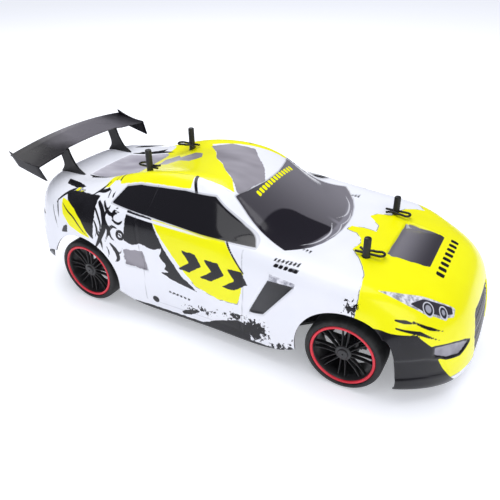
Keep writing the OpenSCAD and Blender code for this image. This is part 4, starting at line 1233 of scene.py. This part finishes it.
# ---------------------------------------------------------------- studio and camera
def studio():
    """Pale floor, soft grey surroundings and three area lights."""
    scene = bpy.context.scene
    scene.view_settings.view_transform = "Standard"
    world = bpy.data.worlds.new("studio")
    scene.world = world
    world.use_nodes = True
    tree = world.node_tree
    path = tree.nodes.new("ShaderNodeLightPath")
    sky = tree.nodes.new("ShaderNodeMix")
    sky.data_type = "RGBA"
    sky.inputs[6].default_value = (0.60, 0.62, 0.67, 1)
    sky.inputs[7].default_value = (0.12, 0.12, 0.135, 1)
    tree.links.new(path.outputs["Is Glossy Ray"], sky.inputs[0])
    tree.links.new(sky.outputs[2], tree.nodes["Background"].inputs["Color"])

    mesh = bpy.data.meshes.new("floor")
    size = 6.0
    corners = [(-size, -size, 0), (size, -size, 0), (size, size, 0), (-size, size, 0)]
    mesh.from_pydata(corners, [], [(0, 1, 2, 3)])
    floor = bpy.data.objects.new("floor", mesh)
    scene.collection.objects.link(floor)
    s = Shader("floor_paper")
    mesh.materials.append(s.finish(Base_Color=(0.9, 0.9, 0.93), Roughness=0.9, Specular_IOR_Level=0.1,
                                   Emission_Color=(0.95, 0.97, 1.0), Emission_Strength=0.3))

    lamps = (
        ("key", (-0.7, 0.6, 1.5), 1.1, 11, (1, 1, 1)),
        ("front", (1.2, -1.0, 0.9), 0.8, 4.5, (1, 0.99, 0.97)),
        ("overhead", (0.1, -0.1, 1.6), 1.0, 7, (0.97, 0.98, 1)),
    )
    target = Vector((0, 0, 0.06))
    for name, spot, width, power, colour in lamps:
        lamp = bpy.data.lights.new(name, "AREA")
        lamp.size = width
        lamp.energy = power
        lamp.color = colour
        holder = bpy.data.objects.new(name, lamp)
        holder.location = spot
        holder.rotation_euler = (target - Vector(spot)).to_track_quat("-Z", "Y").to_euler()
        scene.collection.objects.link(holder)


def camera():
    """Three-quarter view from the front right, a little above the roof."""
    azimuth, elevation, roll = (math.radians(a) for a in (28.91, 30.6, -0.63))
    turn = (Matrix.Rotation(azimuth, 3, "Z") @ Matrix.Rotation(math.pi / 2 - elevation, 3, "X")
            @ Matrix.Rotation(roll, 3, "Z"))
    data = bpy.data.cameras.new("camera")
    data.sensor_width = 36
    data.lens = 39.43
    data.clip_start = 0.01
    cam = bpy.data.objects.new("camera", data)
    cam.matrix_world = Matrix.Translation((0.2249, -0.4078, 0.3192)) @ turn.to_4x4()
    bpy.context.scene.collection.objects.link(cam)
    bpy.context.scene.camera = cam


finish_cad_nodes()
body_shell()
rear_wing()
wing_stays()
for wheel_end in ("front", "rear"):
    for wheel_name, wheel_side in (("right", RIGHT), ("left", LEFT)):
        rides = f"wheel_{wheel_name}" if wheel_end == "front" else "rear_wheels"
        wheel(wheel_end, wheel_name, wheel_side, rides)
posts_and_clips()
springs()
studio()
camera()
